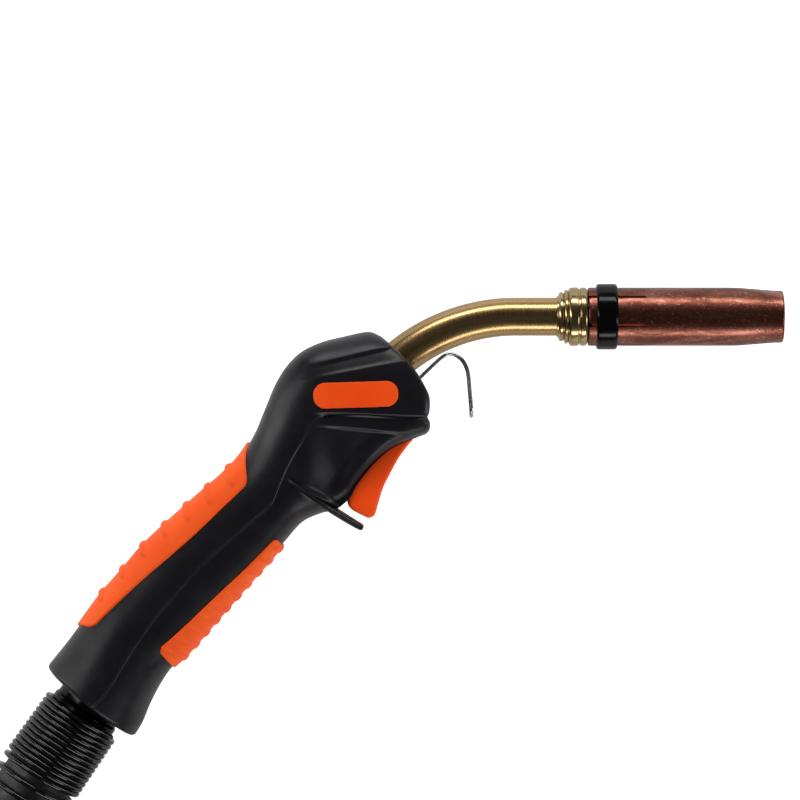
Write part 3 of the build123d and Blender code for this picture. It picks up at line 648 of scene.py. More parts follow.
def strip(skin, from_back):
    """Grid over one shell: from its edge on the +Z side, round the outline, to its edge on the -Z side.
    The lower shell has a row along the trigger slot, and a tongue behind the parting line."""
    grid = []
    for column in range(skin.count):
        edge = float(skin.fraction(column, skin.splits[column]))
        gap = PARTING_GAP / skin.lengths[column]
        if from_back:
            places = np.linspace(0, edge - gap, ROWS_UPPER)
        else:
            slot = slot_edge(skin, column)
            tongue = edge - (0.2 + TONGUE_REACH * tongue_share(skin, column)) / skin.lengths[column]
            places = np.concatenate([np.linspace(1, slot, ROWS_SLOT + 1)[:-1],
                                     np.linspace(slot, edge + gap, ROWS_LOWER), [edge, tongue]])
        half = skin_points(skin, np.full(len(places), float(column)), places)
        low = half[::-1] * (1, 1, -1)
        grid.append(np.vstack([low[:-1], half]))
    return np.array(grid)


def to_frame(grid):
    return [spot(*p) for p in grid.reshape(-1, 3)]


# The rear rim turns inwards: scale of each ring about the rim's centre, and how far back it stands
REAR_LIP = [
    (0.99, 0.7), (0.965, 1.3), (0.935, 1.5), (0.90, 1.2), (0.875, 0.3), (0.862, -2.0), (0.835, -6.5),
]
REAR_CENTRE = np.array([-119.8, -116.4, 0.0])
TAIL_HEADING = np.array([-0.602, -0.799, 0.0])
FRONT_STEPS = 8


def close_ends(grid):
    """Extra columns that close the front across the torch's plane and turn the rear rim inwards."""
    front = [grid[0] * (1, 1, k / FRONT_STEPS) for k in range(FRONT_STEPS)]
    rear = [(grid[-1] - REAR_CENTRE) * scale + REAR_CENTRE + TAIL_HEADING * back for scale, back in REAR_LIP]
    return np.concatenate([front, grid, rear])


def solid_sheet(name, verts, faces, node, thickness):
    """A sheet given thickness on its inner side."""
    mesh = new_mesh(name, verts, faces)
    rework(mesh, weld=1e-6)
    holder = put(name + "_sheet", mesh)
    thick = holder.modifiers.new("thick", "SOLIDIFY")
    thick.thickness = thickness
    thick.offset = -1
    thick.use_even_offset = False
    done = baked(holder)
    bpy.data.objects.remove(holder)
    return finish_piece(name, done, node)


SKIN = Skin()
SHELL_THICKNESS = 1.8


def make_shells():
    for name, node in (("upper_shell_skin", "upper_shell"), ("lower_shell_skin", "lower_shell")):
        grid = strip(SKIN, node == "upper_shell")
        cols = grid.shape[1]
        edge = np.minimum(np.arange(cols), np.arange(cols)[::-1])
        if node == "lower_shell":
            edge = edge - 2
        share = np.array([tongue_share(SKIN, c) for c in range(SKIN.count)])[:, None]
        tongue = GROOVE[0] + (TONGUE_DEPTH - GROOVE[0]) * share
        grid = offset_grid(grid, -np.select([edge < 0, edge == 0, edge == 1], [tongue, *GROOVE], 0.0))
        full = close_ends(grid)
        faces = grid_faces(full.shape[0], cols)
        if node == "lower_shell":
            first, last = (FRONT_STEPS + int(s * COLUMNS_PER_STATION) for s in TRIGGER_SLOT_STATIONS)
            near, far = cols // 2 - ROWS_SLOT, cols // 2 + ROWS_SLOT
            faces = [f for f in faces if not (first <= f[0] // cols < last and near <= f[0] % cols < far)]
        solid_sheet(name, to_frame(full), faces, node, SHELL_THICKNESS * MM)


make_shells()

# Section of the cheeks: height over the torch's plane, and depth behind the trigger-side outline
CHEEK = [(11.35, 0.3), (11.35, 5.5), (12.3, 5.5), (12.3, 0.3)]


def make_cheek(name, side):
    """Wall along the trigger slot, between the shell's edge and the trigger."""
    first, last = (int(s * COLUMNS_PER_STATION) for s in TRIGGER_SLOT_STATIONS)
    line = SKIN.lower[first:last + 1]
    along = np.gradient(line, axis=0)
    inward = np.column_stack([along[:, 1], -along[:, 0]]) / np.linalg.norm(along, axis=1, keepdims=True)
    verts = [spot(*(place + way * depth), side * z)
             for place, way in zip(line, inward) for z, depth in CHEEK]
    return add(name, verts, ring_faces(len(line), len(CHEEK)), "lower_shell")


make_cheek("slot_wall_left", 1)
make_cheek("slot_wall_right", -1)

# ---------------------------------------------------------------- grip pads, badges and trigger

UPPER_PAD_EDGE = [
    (-58.6, -16.2), (-57.0, -19.8), (-55.2, -27.0), (-55.7, -30.0), (-58.6, -32.6), (-67.3, -40.8),
    (-80.8, -53.7), (-100.3, -70.6), (-113.2, -82.8), (-118.6, -88.2), (-121.6, -88.9), (-125.6, -88.0),
]
LOWER_PAD_EDGE = [
    (-45.6, -56.0), (-47.6, -53.4), (-50.2, -55.2), (-59.5, -64.7), (-71.2, -75.7), (-84.1, -88.0),
    (-93.6, -96.4), (-94.9, -98.6), (-93.6, -100.4), (-88.2, -104.0),
]
PAD_RISE = 1.0
PAD_DEPTH = 0.9
PAD_SINK = 0.9  # how far the very edge of a pad drops into the shell
PAD_CORNER_R, PAD_EDGE_R = 3.0, 0.9
# Where each teardrop on the upper pad starts
NUBS = [
    (-66.3, -26.9), (-74.6, -34.2), (-82.9, -41.3), (-91.5, -48.2), (-99.8, -56.3), (-107.8, -65.2),
    (-115.7, -74.5),
]
# Where each rib on the lower pad starts
RIBS = [(-84.1 + 4.13 * i, -99.6 + 4.63 * i) for i in range(10)]
# The edge points between which a pad's edge runs along the handle
PAD_CORNERS = {True: (4, 9), False: (1, 6)}
PAD_COLUMNS, PAD_ROWS = 260, 111
PAD_EDGE_STEPS = 10


def station_of(skin, point, near):
    """The column, with its fraction, whose station line passes a drawing point, and the share across it."""
    x, y = point
    splits = skin.splits
    starts, ends = (skin.rails[0], skin.rails[1]) if near < 0.5 else (skin.rails[1], skin.rails[2])
    run = ends - starts
    length = np.hypot(run[:, 0], run[:, 1])
    off = (run[:, 0] * (y - starts[:, 1]) - run[:, 1] * (x - starts[:, 0])) / length
    t = (run[:, 0] * (x - starts[:, 0]) + run[:, 1] * (y - starts[:, 1])) / length ** 2
    share = t * splits if near < 0.5 else splits + t * (1 - splits)
    passes = (off[:-1] * off[1:] <= 0) & (np.abs(off[1:]) < 3)
    change = np.where(passes & (share[1:] > -0.4) & (share[1:] < 1.4))[0]
    if len(change) == 0:
        best = int(np.argmin(np.abs(off)))
        return float(best), float(share[best])
    k = int(change[0])
    part = off[k] / (off[k] - off[k + 1]) if off[k] != off[k + 1] else 0.0
    return k + part, float(share[k] + (share[k + 1] - share[k]) * part)


def pad_grid(skin, edge, from_back):
    """Skin points under a pad, from its edge on the -Z side to its edge on the +Z side."""
    line = smooth_path(edge, PAD_EDGE_STEPS)
    places = []
    for point in line:
        column, share = station_of(skin, point, 0.2 if from_back else 0.85)
        across = float(skin.fraction(column, share))
        places.append((column, across if from_back else 1 - across))
    places = np.array(places)
    travel = travel_along(line)
    first, last = (travel[corner * PAD_EDGE_STEPS] for corner in PAD_CORNERS[from_back])
    inner = np.linspace(first, last, PAD_COLUMNS)
    inner_place = np.column_stack([np.interp(inner, travel, places[:, k]) for k in (0, 1)])
    outer_column = np.linspace(places[0, 0], places[-1, 0], PAD_COLUMNS)[:, None]
    half = PAD_ROWS // 2
    t = (np.arange(PAD_ROWS) - half) / half
    column = outer_column + (inner_place[:, :1] - outer_column) * np.abs(t) ** 1.5
    across = inner_place[:, 1:] * np.abs(t)
    grid = skin_points(skin, column, across if from_back else 1 - across)
    grid[..., 2] *= np.where(t >= 0, 1, -1)
    return grid


def edge_distance(grid):
    """Distance of each grid point from the grid's nearest side and its nearest end."""
    nearest = []
    for axis in (1, 0):
        steps = np.linalg.norm(np.diff(grid, axis=axis), axis=2)
        first = np.zeros_like(np.take(steps, [0], axis=axis))
        travel = np.concatenate([first, np.cumsum(steps, axis=axis)], axis=axis)
        nearest.append(np.minimum(travel, np.take(travel, [-1], axis=axis) - travel))
    return nearest


def pad_height(grid):
    """Height of a pad with rounded corners and a rounded edge."""
    side, end = edge_distance(grid)
    near_corner = (side < PAD_CORNER_R) & (end < PAD_CORNER_R)
    inside = PAD_CORNER_R - np.hypot(PAD_CORNER_R - side, PAD_CORNER_R - end)
    distance = np.where(near_corner, inside, np.minimum(side, end))
    share = np.clip(distance / PAD_EDGE_R, 0, 1)
    return PAD_RISE * np.sqrt(1 - (1 - share) ** 2) - PAD_SINK * (distance <= 0.02)


def bumps(grid, places, way, reaches, width, height):
    """Raised teardrops that start on the outline and run inward."""
    total = np.zeros(grid.shape[:2])
    way = np.array(way) / np.hypot(*way)
    side = np.array([-way[1], way[0]])
    for place, reach in zip(places, reaches):
        offset = grid[..., :2] - np.array(place)
        run = offset @ way
        off = offset @ side
        half = width * (1 - 0.35 * np.clip(run / reach, 0, 1))
        end = np.clip((run - 0.62 * reach) / (0.38 * reach), 0, None)
        radius = np.hypot(off / half, end)
        total = np.maximum(total, height * np.clip(1 - radius ** 2, 0, None) ** 0.75)
    return total


def make_pad(name, node, edge, from_back, places, way, reaches, width, height):
    grid = pad_grid(SKIN, edge, from_back)
    rise = pad_height(grid)
    lift = rise + bumps(grid, places, way, reaches, width, height) * (rise > 0.6)
    verts = to_frame(offset_grid(grid, lift)) + to_frame(offset_grid(grid, np.full(lift.shape, -PAD_DEPTH)))
    index = np.arange(lift.size).reshape(lift.shape)
    top = grid_faces(*lift.shape)
    rim = [int(k) for side in (index[0], index[1:, -1], index[-1, -2::-1], index[-2:0:-1, 0]) for k in side]
    walls = [(a, b, lift.size + b, lift.size + a) for a, b in zip(rim, rim[1:] + rim[:1])]
    faces = top + [tuple(lift.size + v for v in reversed(face)) for face in top] + walls
    return add(name, verts, faces, node, angle=60)


make_pad("upper_grip_pad_skin", "upper_grip_pad", UPPER_PAD_EDGE, True, NUBS, (0.25, -0.97),
         [7.4 - 0.55 * i for i in range(7)], 1.4, 0.95)
make_pad("lower_grip_pad_skin", "lower_grip_pad", LOWER_PAD_EDGE, False, RIBS, (-0.9, 0.44),
         [9.4 - 0.7 * i for i in range(10)], 1.7, 0.65)


def surface_z(point):
    """Height of the skin over a drawing point."""
    column, share = station_of(SKIN, point, 0.3)
    return skin_points(SKIN, np.array([column]), np.array([SKIN.fraction(column, share)]))[0, 2]


BADGE_X, BADGE_Y, BADGE_TILT = -17.0, 2.0, 1.8
BADGE_LENGTH, BADGE_WIDTH, BADGE_CORNER = 32.7, 9.9, 4.5
BADGE_LIFT = 0.55
# Rings of the badge: how far each stands in from the outline, its scale, and its height over the shell
BADGE_RINGS = [(0, 1, -0.8), (0, 1, 0.38), (0.1145, 1, 0.5), (0.2943, 1, BADGE_LIFT)] + [
    (0, k / 8, BADGE_LIFT) for k in range(7, 0, -1)]


def make_badge(name, node, side):
    outline = []
    for cx, cy, start in ((1, 1, 0), (-1, 1, 90), (-1, -1, 180), (1, -1, 270)):
        for k in range(13):
            angle = math.radians(start + 90 * k / 12)
            outline.append((cx * (BADGE_LENGTH / 2 - BADGE_CORNER) + BADGE_CORNER * math.cos(angle),
                            cy * (BADGE_WIDTH / 2 - BADGE_CORNER) + BADGE_CORNER * math.sin(angle)))
    tilt = math.radians(BADGE_TILT)
    verts = []
    for inset, scale, lift in BADGE_RINGS:
        for x, y in outline:
            px, py = (c * scale - math.copysign(min(inset, abs(c)), c) for c in (x, y))
            x = BADGE_X + px * math.cos(tilt) - py * math.sin(tilt)
            y = BADGE_Y + px * math.sin(tilt) + py * math.cos(tilt)
            verts.append(spot(x, y, side * (surface_z((x, y)) + lift)))
    return add(name, verts, ring_faces(len(BADGE_RINGS), len(outline)), node, angle=50)


make_badge("badge_left_skin", "badge_left", 1)
make_badge("badge_right_skin", "badge_right", -1)

TRIGGER = [
    (4.9, -14.9), (3.1, -17.6), (-0.4, -22.4), (-3.4, -27.8), (-6.4, -33.8), (-8.2, -39.4), (-9.4, -43.6),
    (-10.2, -45.0), (-11.8, -45.7), (-13.4, -45.3), (-19.7, -41.5), (-20.3, -35.8), (-19.0, -32.4),
    (-15.0, -26.9), (-9.8, -22.2), (-5.2, -17.4), (0.2, -12.8),
]
TRIGGER_HALF_WIDTH = 10.9
TRIGGER_ROUND = 1.5


def make_trigger():
    """Trigger plate with rounded edges."""
    line = smooth_path(TRIGGER, 5, closed=True)
    count = len(line)
    layers = []
    for degrees in range(0, 91, 15):
        angle = math.radians(degrees)
        z = TRIGGER_HALF_WIDTH - TRIGGER_ROUND + TRIGGER_ROUND * math.sin(angle)
        layers.append((z, TRIGGER_ROUND * (1 - math.cos(angle))))
    layers = [(-z, inset) for z, inset in reversed(layers)] + layers
    tangent = np.roll(line, -1, axis=0) - np.roll(line, 1, axis=0)
    inward = np.column_stack([tangent[:, 1], -tangent[:, 0]])
    inward = inward / np.linalg.norm(inward, axis=1, keepdims=True)
    verts = [spot(*place, z) for z, inset in layers for place in line + inward * inset]
    faces = grid_faces(len(layers), count, True)
    caps = tessellate_polygon([[Vector((*p, 0)) for p in line]])
    faces += [tuple(t) for t in caps]
    faces += [tuple((len(layers) - 1) * count + v for v in t) for t in caps]
    return add("trigger_skin", verts, faces, "trigger", angle=50)


make_trigger()

# Guard fin under the trigger: middle of its edge, half thickness and half width
FIN = [
    (-45.5, -28.6, 0.3, 17.0), (-41.5, -32.0, 0.55, 19.9), (-35.0, -36.9, 0.9, 20.2),
    (-28.8, -41.2, 1.2, 18.4), (-22.8, -45.0, 1.35, 14.6), (-18.2, -47.8, 1.35, 11.2),
    (-15.4, -49.4, 1.25, 9.6),
]
FIN_TIP = 1.25
FIN_AROUND = 72


def make_fin():
    stations = smooth_path(FIN, 10)
    way = stations[-1][:2] - stations[-2][:2]
    way = way / np.linalg.norm(way)
    x, y, thick, wide = stations[-1]
    tip = []
    for k in range(1, 9):
        angle = math.radians(90 * k / 8)
        place = (x, y) + way * math.sin(angle) * FIN_TIP
        tip.append((*place, thick * max(math.cos(angle), 0.02), wide - FIN_TIP * (1 - math.cos(angle))))
    rows = np.vstack([stations, tip])
    verts = []
    for i, (x, y, thick, wide) in enumerate(rows):
        along = rows[min(i + 1, len(rows) - 1)][:2] - rows[max(i - 1, 0)][:2]
        along = along / np.linalg.norm(along)
        up = np.array([-along[1], along[0]])
        for j in range(FIN_AROUND):
            angle = 2 * math.pi * j / FIN_AROUND
            c, s = math.cos(angle), math.sin(angle)
            corner = thick * math.copysign(abs(s) ** 0.6, s)
            z = (wide - thick) * math.copysign(min(1.0, abs(s) * 1.6), s) + corner
            verts.append(spot(*((x, y) + up * thick * math.copysign(abs(c) ** 0.6, c)), z))
    return add("trigger_guard", verts, ring_faces(len(rows), FIN_AROUND), "lower_shell", angle=70)


make_fin()

# ---------------------------------------------------------------- neck, collar and nozzle

BALL = (-115.1, -110.3)
CABLE_R = 14.0
CABLE_DEG = 55.0
TAIL_DEG = 53.0
CABLE_WAY = heading(CABLE_DEG)
CABLE_ROOT = spot(*BALL)

NECK_R = 7.5
NECK_BEND_R = 71.6
NECK_BEND_X = 45.2
NECK_BEND = 50.0
NECK_END_X = 61.6
NECK_TAIL = 24.0
AXIS = spot(0, NOZZLE_Y)
PLUS_X = Vector((1, 0, 0))


def neck_line():
    points = [(NECK_END_X, NOZZLE_Y), (NECK_BEND_X + 8, NOZZLE_Y)]
    for k in range(49):
        angle = math.radians(NECK_BEND * k / 48)
        x = NECK_BEND_X - NECK_BEND_R * math.sin(angle)
        points.append((x, NOZZLE_Y - NECK_BEND_R * (1 - math.cos(angle))))
    x, y = points[-1]
    for k in range(1, 4):
        points.append((x - NECK_TAIL * k / 3 * math.cos(angle), y - NECK_TAIL * k / 3 * math.sin(angle)))
    return [spot(x, y) for x, y in points]


NECK_LINE = neck_line()


def brushed_tube(name, node, path, radius, around=96):
    """Tube with UVs that run round and along it, for the brushed finish."""
    piece = add(name, *tube_mesh(path, radius, around), node)
    travel = travel_along(path)
    layer = piece.data.uv_layers.new(name="UVMap")
    for face in piece.data.polygons:
        wrap = {piece.data.loops[k].vertex_index % around for k in face.loop_indices} == {0, around - 1}
        for k in face.loop_indices:
            ring, place = divmod(piece.data.loops[k].vertex_index, around)
            layer.data[k].uv = ((place + around * (wrap and place == 0)) / around, travel[ring])
    piece.data.materials[0] = brushed_brass()
    return piece


brushed_tube("swan_neck_skin", "swan_neck", NECK_LINE, NECK_R * MM)

COLLAR = [
    (61.05, 7.5), (61.05, 8.2, 0.2), (61.7, 8.2, 0.2), (61.8, 9.3, 0.7), (62.6, 9.75, 0.6),
    (63.5, 9.6, 0.5), (63.7, 9.1, 0.1), (63.85, 9.1, 0.1), (64.0, 10.3, 0.4), (64.7, 10.7, 0.4),
    (65.3, 10.5, 0.3), (65.4, 9.9, 0.1), (65.6, 9.9, 0.1), (65.7, 11.0, 0.7), (66.6, 11.5, 0.9),
    (69.2, 11.5, 0.5), (69.6, 11.0, 0.15), (70.1, 11.0, 0.15), (70.4, 11.5, 0.5), (72.2, 11.45, 0.7),
    (72.9, 10.9, 0.2), (72.9, 7.5),
]
collar = turned_piece("neck_collar_skin", "neck_collar", AXIS, PLUS_X, COLLAR, 0.2, 128)
collar.data.materials[0] = turned_brass()

BAND_X, BAND_END_X = 76.4, 84.6
BAND_BORE, BAND_EDGE_R, BAND_R = 11.45, 12.4, 12.9
BAND = [
    (BAND_X, BAND_BORE), (BAND_X, BAND_EDGE_R, 0.5), (BAND_X + 0.9, BAND_R, 0.6),
    (BAND_END_X - 0.9, BAND_R, 0.6), (BAND_END_X, BAND_EDGE_R, 0.5), (BAND_END_X, BAND_BORE),
]
turned_piece("nozzle_band_skin", "nozzle_band", AXIS, PLUS_X, BAND, 0.3, 128)

NOZZLE_X = 73.3
NOZZLE_TAPER_X = 131.3
NOZZLE_R = 11.4
NOZZLE_TIP_R = 10.2
SLOT_COUNT = 6
SLOT_FIRST_DEG = 48.5
SLOT_LENGTH = 22.2
SLOT_WIDTH = 1.2
NOZZLE = [
    (NOZZLE_X, NOZZLE_R - 1.6), (NOZZLE_X, 11.2, 0.2), (NOZZLE_X + 0.5, NOZZLE_R, 0.3),
    (NOZZLE_TAPER_X, NOZZLE_R, 3.0), (NOZZLE_END_X - 4, NOZZLE_TIP_R + 0.05, 4.0),
    (NOZZLE_END_X - 0.5, NOZZLE_TIP_R, 0.4), (NOZZLE_END_X, NOZZLE_TIP_R - 0.5, 0.3),
    (NOZZLE_END_X, NOZZLE_TIP_R - 1.3, 0.2), (NOZZLE_TAPER_X, NOZZLE_R - 1.6, 2.0),
]
BOX_FACES = [(0, 1, 3, 2), (4, 6, 7, 5), (0, 4, 5, 1), (2, 3, 7, 6), (0, 2, 6, 4), (1, 5, 7, 3)]


def with_rings(profile, step):
    """Adds points so that no profile edge is longer than step along the axis."""
    out = []
    for i, (x, r) in enumerate(profile):
        nx, nr = profile[(i + 1) % len(profile)]
        out.append((x, r))
        cuts = int(abs(nx - x) // step)
        for k in range(1, cuts + 1):
            t = k / (cuts + 1)
            out.append((x + (nx - x) * t, r + (nr - r) * t))
    return out


def make_nozzle():
    """Turned nozzle, slotted through its rear end."""
    profile = with_rings(rounded(NOZZLE, 0.3), 4.0)
    body = put("nozzle_body", new_mesh("nozzle", *lathe(AXIS, PLUS_X, profile, 192)))
    cutters = []
    for k in range(SLOT_COUNT):
        angle = math.radians(SLOT_FIRST_DEG + 360 / SLOT_COUNT * k)
        out = Vector((0, math.cos(angle), math.sin(angle)))
        side = PLUS_X.cross(out)
        corners = [spot(NOZZLE_X, NOZZLE_Y) + (PLUS_X * x + side * s + out * r) * MM
                   for x in (-1.0, SLOT_LENGTH) for s in (-SLOT_WIDTH / 2, SLOT_WIDTH / 2)
                   for r in (NOZZLE_R - 3.2, NOZZLE_R + 1.5)]
        block = new_mesh("slot", corners, BOX_FACES)
        rework(block)
        cutters.append(put("slot_cutter", block))
        cut = body.modifiers.new("slot", "BOOLEAN")
        cut.operation = "DIFFERENCE"
        cut.object = cutters[-1]
        cut.solver = "EXACT"
    done = baked(body)
    for item in [body, *cutters]:
        bpy.data.objects.remove(item)
    return finish_piece("gas_nozzle_skin", done, "gas_nozzle")


make_nozzle()
LINING = [(NOZZLE_X + 1, 9.3), (NOZZLE_X + 1, 10.3), (NOZZLE_X + 26, 10.3), (NOZZLE_X + 26, 9.3)]
lining = turned_piece("gas_nozzle_lining", "gas_nozzle", AXIS, PLUS_X, LINING, 0.1)
lining.data.materials[0] = plain("bare_copper", (0.80, 0.16, 0.06), 0.45, 0.55, 600, 0.2)

# ---------------------------------------------------------------- hanging hook

HOOK_WIRE = 0.75
HOOK_LEG_Z = 6.0
HOOK_LEG = [
    (5.0, 5.9), (10.4, 11.2), (15.9, 16.3), (18.6, 17.9), (21.4, 17.6), (24.2, 15.6), (25.9, 12.6),
    (26.7, 9.2), (27.2, 3.4), (27.7, -2.0),
]
HOOK_TIP = (27.8, -6.2)
HOOK_TIP_R = 2.6


def make_hook():
    leg = [spot(x, y, HOOK_LEG_Z) for x, y in HOOK_LEG]
    tip = []
    for k in range(9):
        angle = math.pi * k / 8
        y = HOOK_TIP[1] + HOOK_TIP_R * (1 - math.sin(angle))
        tip.append(spot(HOOK_TIP[0], y, HOOK_LEG_Z * math.cos(angle)))
    other = [spot(x, y, -HOOK_LEG_Z) for x, y in reversed(HOOK_LEG)]
    path = smooth_path(leg + tip + other, 8)
    return add("torch_hook_skin", *tube_mesh(path, HOOK_WIRE * MM), "torch_hook")


make_hook()

# ---------------------------------------------------------------- ball joint and support spring

TAIL_WAY = heading(TAIL_DEG)
RING = [
    (-7.9, 15.2), (-7.9, 17.8), (-4.2, 17.9), (-4.2, 18.8), (-1.1, 18.8), (-1.1, 17.9),
    (3.0, 17.9, 0.8), (3.4, 17.2, 0.5), (3.4, 16.0), (0.0, 16.25), (-4.0, 15.8),
]
turned_piece("ball_socket_ring_skin", "ball_socket_ring", CABLE_ROOT, TAIL_WAY, RING, 0.2)


BALL_R = 15.95
SLEEVE = [(BALL_R * math.cos(angle), BALL_R * math.sin(angle))
          for angle in (math.radians(120 - 4.4 * k) for k in range(17))]
SLEEVE += [
    (8.4, 13.85, 0.8), (9.4, 13.2, 0.6), (12.0, 13.2, 0.6), (13.0, 13.9, 0.6), (26.0, 13.9, 0.4),
    (26.0, 11.05), (-7.9, 11.05),
]
turned_piece("ball_sleeve_skin", "ball_sleeve", CABLE_ROOT, CABLE_WAY, SLEEVE, 0.05)

SPRING_START = 15.4
SPRING_WIRE = 1.03
SPRING_CLOSE_TURNS, SPRING_CLOSE_PITCH = 12.0, 2.22
SPRING_OPEN_TURNS = 4.6
SPRING_OPEN_PITCH = (4.4, 8.3)
SPRING_FRONT_R, SPRING_REAR_R = 15.4, 15.9
SPRING_PHASE = 0.4
SPRING_STEPS = 40  # along each turn


def make_spring():
    """Support spring: wound close at the handle, and open towards the cable."""
    path, distance = [], SPRING_START
    turn = basis(CABLE_WAY)
    for k in range(int((SPRING_CLOSE_TURNS + SPRING_OPEN_TURNS) * SPRING_STEPS) + 1):
        turns = k / SPRING_STEPS
        early = min(turns / SPRING_CLOSE_TURNS, 1.0)
        radius = SPRING_FRONT_R + (SPRING_REAR_R - SPRING_FRONT_R) * early
        angle = 2 * math.pi * turns + SPRING_PHASE
        place = Vector((radius * math.cos(angle), radius * math.sin(angle), distance))
        path.append(CABLE_ROOT + turn @ (place * MM))
        pitch = SPRING_CLOSE_PITCH
        if turns >= SPRING_CLOSE_TURNS:
            late = (turns - SPRING_CLOSE_TURNS) / SPRING_OPEN_TURNS
            pitch = SPRING_OPEN_PITCH[0] + (SPRING_OPEN_PITCH[1] - SPRING_OPEN_PITCH[0]) * late
        distance += pitch / SPRING_STEPS
    return add("support_spring_skin", *tube_mesh(path, SPRING_WIRE * MM, 20), "support_spring", angle=80)


make_spring()

# ---------------------------------------------------------------- cable and connector

COIL_TURN = 154.0
COIL_ENTRY_DEG = 145.0


def along_root(distance, height):
    """Point on the cable's lead: distance from the ball and height over the floor, in millimetres."""
    point = CABLE_ROOT + CABLE_WAY * distance * MM
    point.z = height * MM
    return point


LEAD = [(22.0, 21.85), (76.0, 21.85), (127.0, 17.5), (178.0, 14.0)]
COIL_CENTRE = along_root(178.0, 0.0) - bearing(COIL_ENTRY_DEG) * COIL_TURN * MM
# Bearing about the coil's centre, radius and height of the cable's middle
COIL = [
    (145, 154, 14.0), (505, 154, 14.0), (545, 126, 14.0), (880, 126, 14.0), (940, 140, 38.25),
    (1016, 140, 38.25),
]
COIL_STEP = 20.0
TAIL = [(316, 142, 39.75), (336, 142, 44.0), (356, 142, 50.5)]
PLUG_WAY = bearing(96.0)
PLUG_GAP = 16.0
CABLE_IN_BOOT = 30.0


def round_coil(degrees, radius, height):
    point = COIL_CENTRE + bearing(degrees) * radius * MM
    point.z = height * MM
    return point


def coil_point(degrees):
    """Cable's middle on the coil, easing between the listed radii and heights."""
    for (from_deg, from_r, from_z), (to_deg, to_r, to_z) in zip(COIL, COIL[1:]):
        if degrees <= to_deg:
            share = float(ease((degrees - from_deg) / (to_deg - from_deg)))
            return round_coil(degrees, from_r + (to_r - from_r) * share, from_z + (to_z - from_z) * share)


def cable_points():
    points = [along_root(*station) for station in LEAD]
    degrees = COIL_ENTRY_DEG + COIL_STEP
    while degrees <= COIL[-1][0]:
        points.append(coil_point(degrees))
        degrees += COIL_STEP
    points += [round_coil(*corner) for corner in TAIL]
    points.append(points[-1] + PLUG_WAY * (PLUG_GAP + CABLE_IN_BOOT) * MM)
    return points


def path_length(curve):
    depth = curve.data.bevel_depth
    curve.data.bevel_depth = 0
    line = [v.co for v in baked(curve).vertices]
    curve.data.bevel_depth = depth
    return sum((b - a).length for a, b in zip(line, line[1:]))


def make_cable():
    points = cable_points()
    data = bpy.data.curves.new("cable", "CURVE")
    data.dimensions = "3D"
    data.bevel_depth = 1.0
    data.bevel_resolution = 12
    data.resolution_u = 8
    data.use_fill_caps = True
    line = data.splines.new("NURBS")
    line.points.add(len(points) - 1)
    for target, point in zip(line.points, points):
        target.co = (*point, 1)
        target.radius = CABLE_R * MM
    line.order_u = 3
    line.use_endpoint_u = True
    cable = put("cable", data)
    data.materials.append(MATERIALS["sheath_rubber"])
    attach(cable, NODE_BODY["cable_sheath"])
    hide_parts("cable_sheath", "cable_coil", "cable_tail")
    return cable, points


CABLE, CABLE_LINE = make_cable()
CABLE_LENGTH = path_length(CABLE)
PLUG_START = CABLE_LINE[-2] + PLUG_WAY * PLUG_GAP * MM


# Machine connector: lengths from the boot's start
BOOT_END = 40.0
HOUSING_END = 108.0
BOOT_RIBS = 6
GRIP_R, GRIP_GROOVE_R = 20.4, 19.9


def make_connector():
    boot = [(0, 14.3), (0, 15.8, 0.8), (1.5, 16.2)]
    for i in range(BOOT_RIBS):
        start = 4.0 + i * 5.4
        r = 16.4 + 1.7 * i / BOOT_RIBS
        boot += [(start, r, 0.6), (start + 1.1, r - 1.3, 0.5), (start + 2.4, r - 1.3, 0.5)]
        boot.append((start + 3.5, r + 0.25, 0.6))
    boot += [(BOOT_END, 18.4, 0.5), (BOOT_END, 14.3)]
    housing = [(BOOT_END, 14.4), (BOOT_END, 18.6, 0.6), (BOOT_END + 3.5, GRIP_R, 2.5)]
    for groove in (BOOT_END + 9, HOUSING_END - 16):
        housing += [(groove, GRIP_R, 0.4), (groove + 0.6, GRIP_GROOVE_R, 0.3)]
        housing += [(groove + 1.8, GRIP_GROOVE_R, 0.3), (groove + 2.4, GRIP_R, 0.4)]
    housing += [(HOUSING_END - 6, GRIP_R, 2.5), (HOUSING_END, 18.0, 0.8), (HOUSING_END, 14.4)]
    return [
        turned_piece("connector_boot_skin", "connector_boot", PLUG_START, PLUG_WAY, boot, 0.4),
        turned_piece("connector_housing_skin", "connector_housing", PLUG_START, PLUG_WAY, housing, 0.4, 128),
    ]


CONNECTOR_PIECES = make_connector()
NUT_R = 22.3


def make_nut():
    """Knurled ring nut: straight flutes round a turned body."""
    around, flutes, depth = 288, 36, 0.7
    b = HOUSING_END
    front = b + 25
    profile = rounded([
        (b + 1, 16.4), (b + 1, 21.0), (b + 2.6, NUT_R), (b + 5.5, NUT_R), (b + 6.2, 21.4),
        (b + 7.4, 21.4), (b + 8.0, NUT_R), (front - 3, NUT_R), (front - 2.2, 21.5), (front, 21.0),
        (front, 17.8), (b + 12, 17.8), (b + 12, 16.4)], 0.4)
    verts, faces = lathe(PLUG_START, PLUG_WAY, profile, around)
    turn = basis(PLUG_WAY)
    count = len(profile)
    for j in range(around):
        wave = 0.5 - 0.5 * math.cos(2 * math.pi * j * flutes / around)
        for i, (distance, radius) in enumerate(profile):
            inside = ease((radius - 21.3) / 0.9)
            lobe = ease((distance - b - 7.6) / 1.2) * ease((front - 2.4 - distance) / 1.2)
            cut = depth * wave * float(inside) * float(lobe)
            if cut:
                index = j * count + i
                angle = 2 * math.pi * j / around
                verts[index] -= turn @ Vector((math.cos(angle), math.sin(angle), 0)) * cut * MM
    return add("connector_nut_skin", verts, faces, "connector_nut", angle=50)


make_nut()

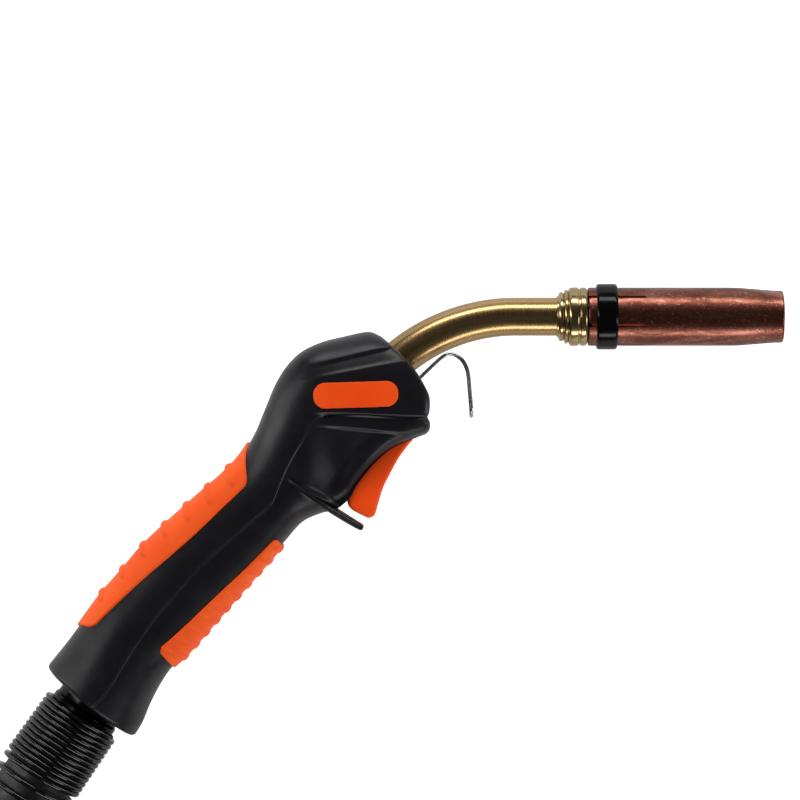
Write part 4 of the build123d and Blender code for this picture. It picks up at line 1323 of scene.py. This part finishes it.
TIE_DEG = 250.0
TIE_WIDTH = 24.0
TIE_TURNS = [(151.7, 14.0), (124.1, 14.0), (137.9, 38.25)]  # radius and height of the turns that it holds
TIE_STEPS = 120


def make_tie():
    """Strap drawn tight round the three turns; each ring point is the farthest one in its direction."""
    half = TIE_WIDTH / 2
    section = [(-half, 0.2), (-half, 1.3), (-half + 0.5, 1.8), (half - 0.5, 1.8), (half, 1.3), (half, 0.2)]
    out, along = bearing(TIE_DEG), bearing(TIE_DEG - 90)
    verts = []
    for k in range(TIE_STEPS):
        angle = 2 * math.pi * k / TIE_STEPS
        c, s = math.cos(angle), math.sin(angle)
        radius, height = max(TIE_TURNS, key=lambda turn: turn[0] * c + turn[1] * s)
        for across, lift in section:
            reach = CABLE_R + lift
            low = -0.4 if lift > 0.2 else 0.1
            place = COIL_CENTRE + (out * (radius + reach * c) + along * across) * MM
            place.z = max(height + reach * s, low) * MM
            verts.append(place)
    faces = grid_faces(TIE_STEPS, len(section), True, True)
    return add("coil_tie_strap", verts, faces, "coil_tie", angle=50)


CABLE_PIECES = [
    *CONNECTOR_PIECES, make_tie(), "adapter_block", "wire_guide_tube", "gas_seal_ring", "housing_screws"]

# ---------------------------------------------------------------- camera, light and floor

VIEW_MM = 312.0  # what the picture spans at the torch's own plane
CAMERA_DISTANCE = 1.6
SENSOR = 36.0

camera_data = bpy.data.cameras.new("camera")
camera_data.sensor_width = SENSOR
camera_data.lens = SENSOR * CAMERA_DISTANCE / (VIEW_MM * MM)
camera = put("camera", camera_data)
camera.location = spot(0, 0) + Vector((0, 0, CAMERA_DISTANCE))
bpy.context.scene.camera = camera


# Where each light stands, its size and its power; all of them face the torch
LIGHTS = {
    "left": ((-1.25, 0.3, 0.62), (0.3, 1.5), 9.5),
    "back": ((0.1, 1.3, 0.62), (1.6, 0.3), 15.0),
    "right": ((1.3, -0.2, 0.5), (0.3, 1.3), 8.0),
    "front": ((0.1, -1.3, 0.55), (1.4, 0.28), 10.0),
}
for name, (location, size, power) in LIGHTS.items():
    lamp_data = bpy.data.lights.new(name, "AREA")
    lamp_data.shape = "RECTANGLE"
    lamp_data.size, lamp_data.size_y = size
    lamp_data.energy = power
    lamp = put(name, lamp_data)
    lamp.location = location
    lamp.rotation_euler = (-Vector(location)).to_track_quat("-Z", "Y").to_euler()

world = bpy.data.worlds.new("studio")
world.use_nodes = True
world.node_tree.nodes["Background"].inputs["Color"].default_value = (1, 1, 1, 1)
world.node_tree.nodes["Background"].inputs["Strength"].default_value = 0.06
bpy.context.scene.world = world
bpy.context.scene.view_settings.view_transform = "Standard"

floor_mesh = new_mesh("floor", [(-4, -4, 0), (4, -4, 0), (4, 4, 0), (-4, 4, 0)], [(0, 1, 2, 3)])
floor = put("floor", floor_mesh)
floor_look = Shader("floor", (0.93, 0.93, 0.93), 0.6, Emission_Color=(1, 1, 1, 1))
seen = floor_look.tree.nodes.new("ShaderNodeLightPath").outputs["Is Camera Ray"]
floor_look.link(floor_look.range(seen, 0, 1, 0.2, 0.9), floor_look.bsdf.inputs["Emission Strength"])
floor_mesh.materials.append(floor_look.material)
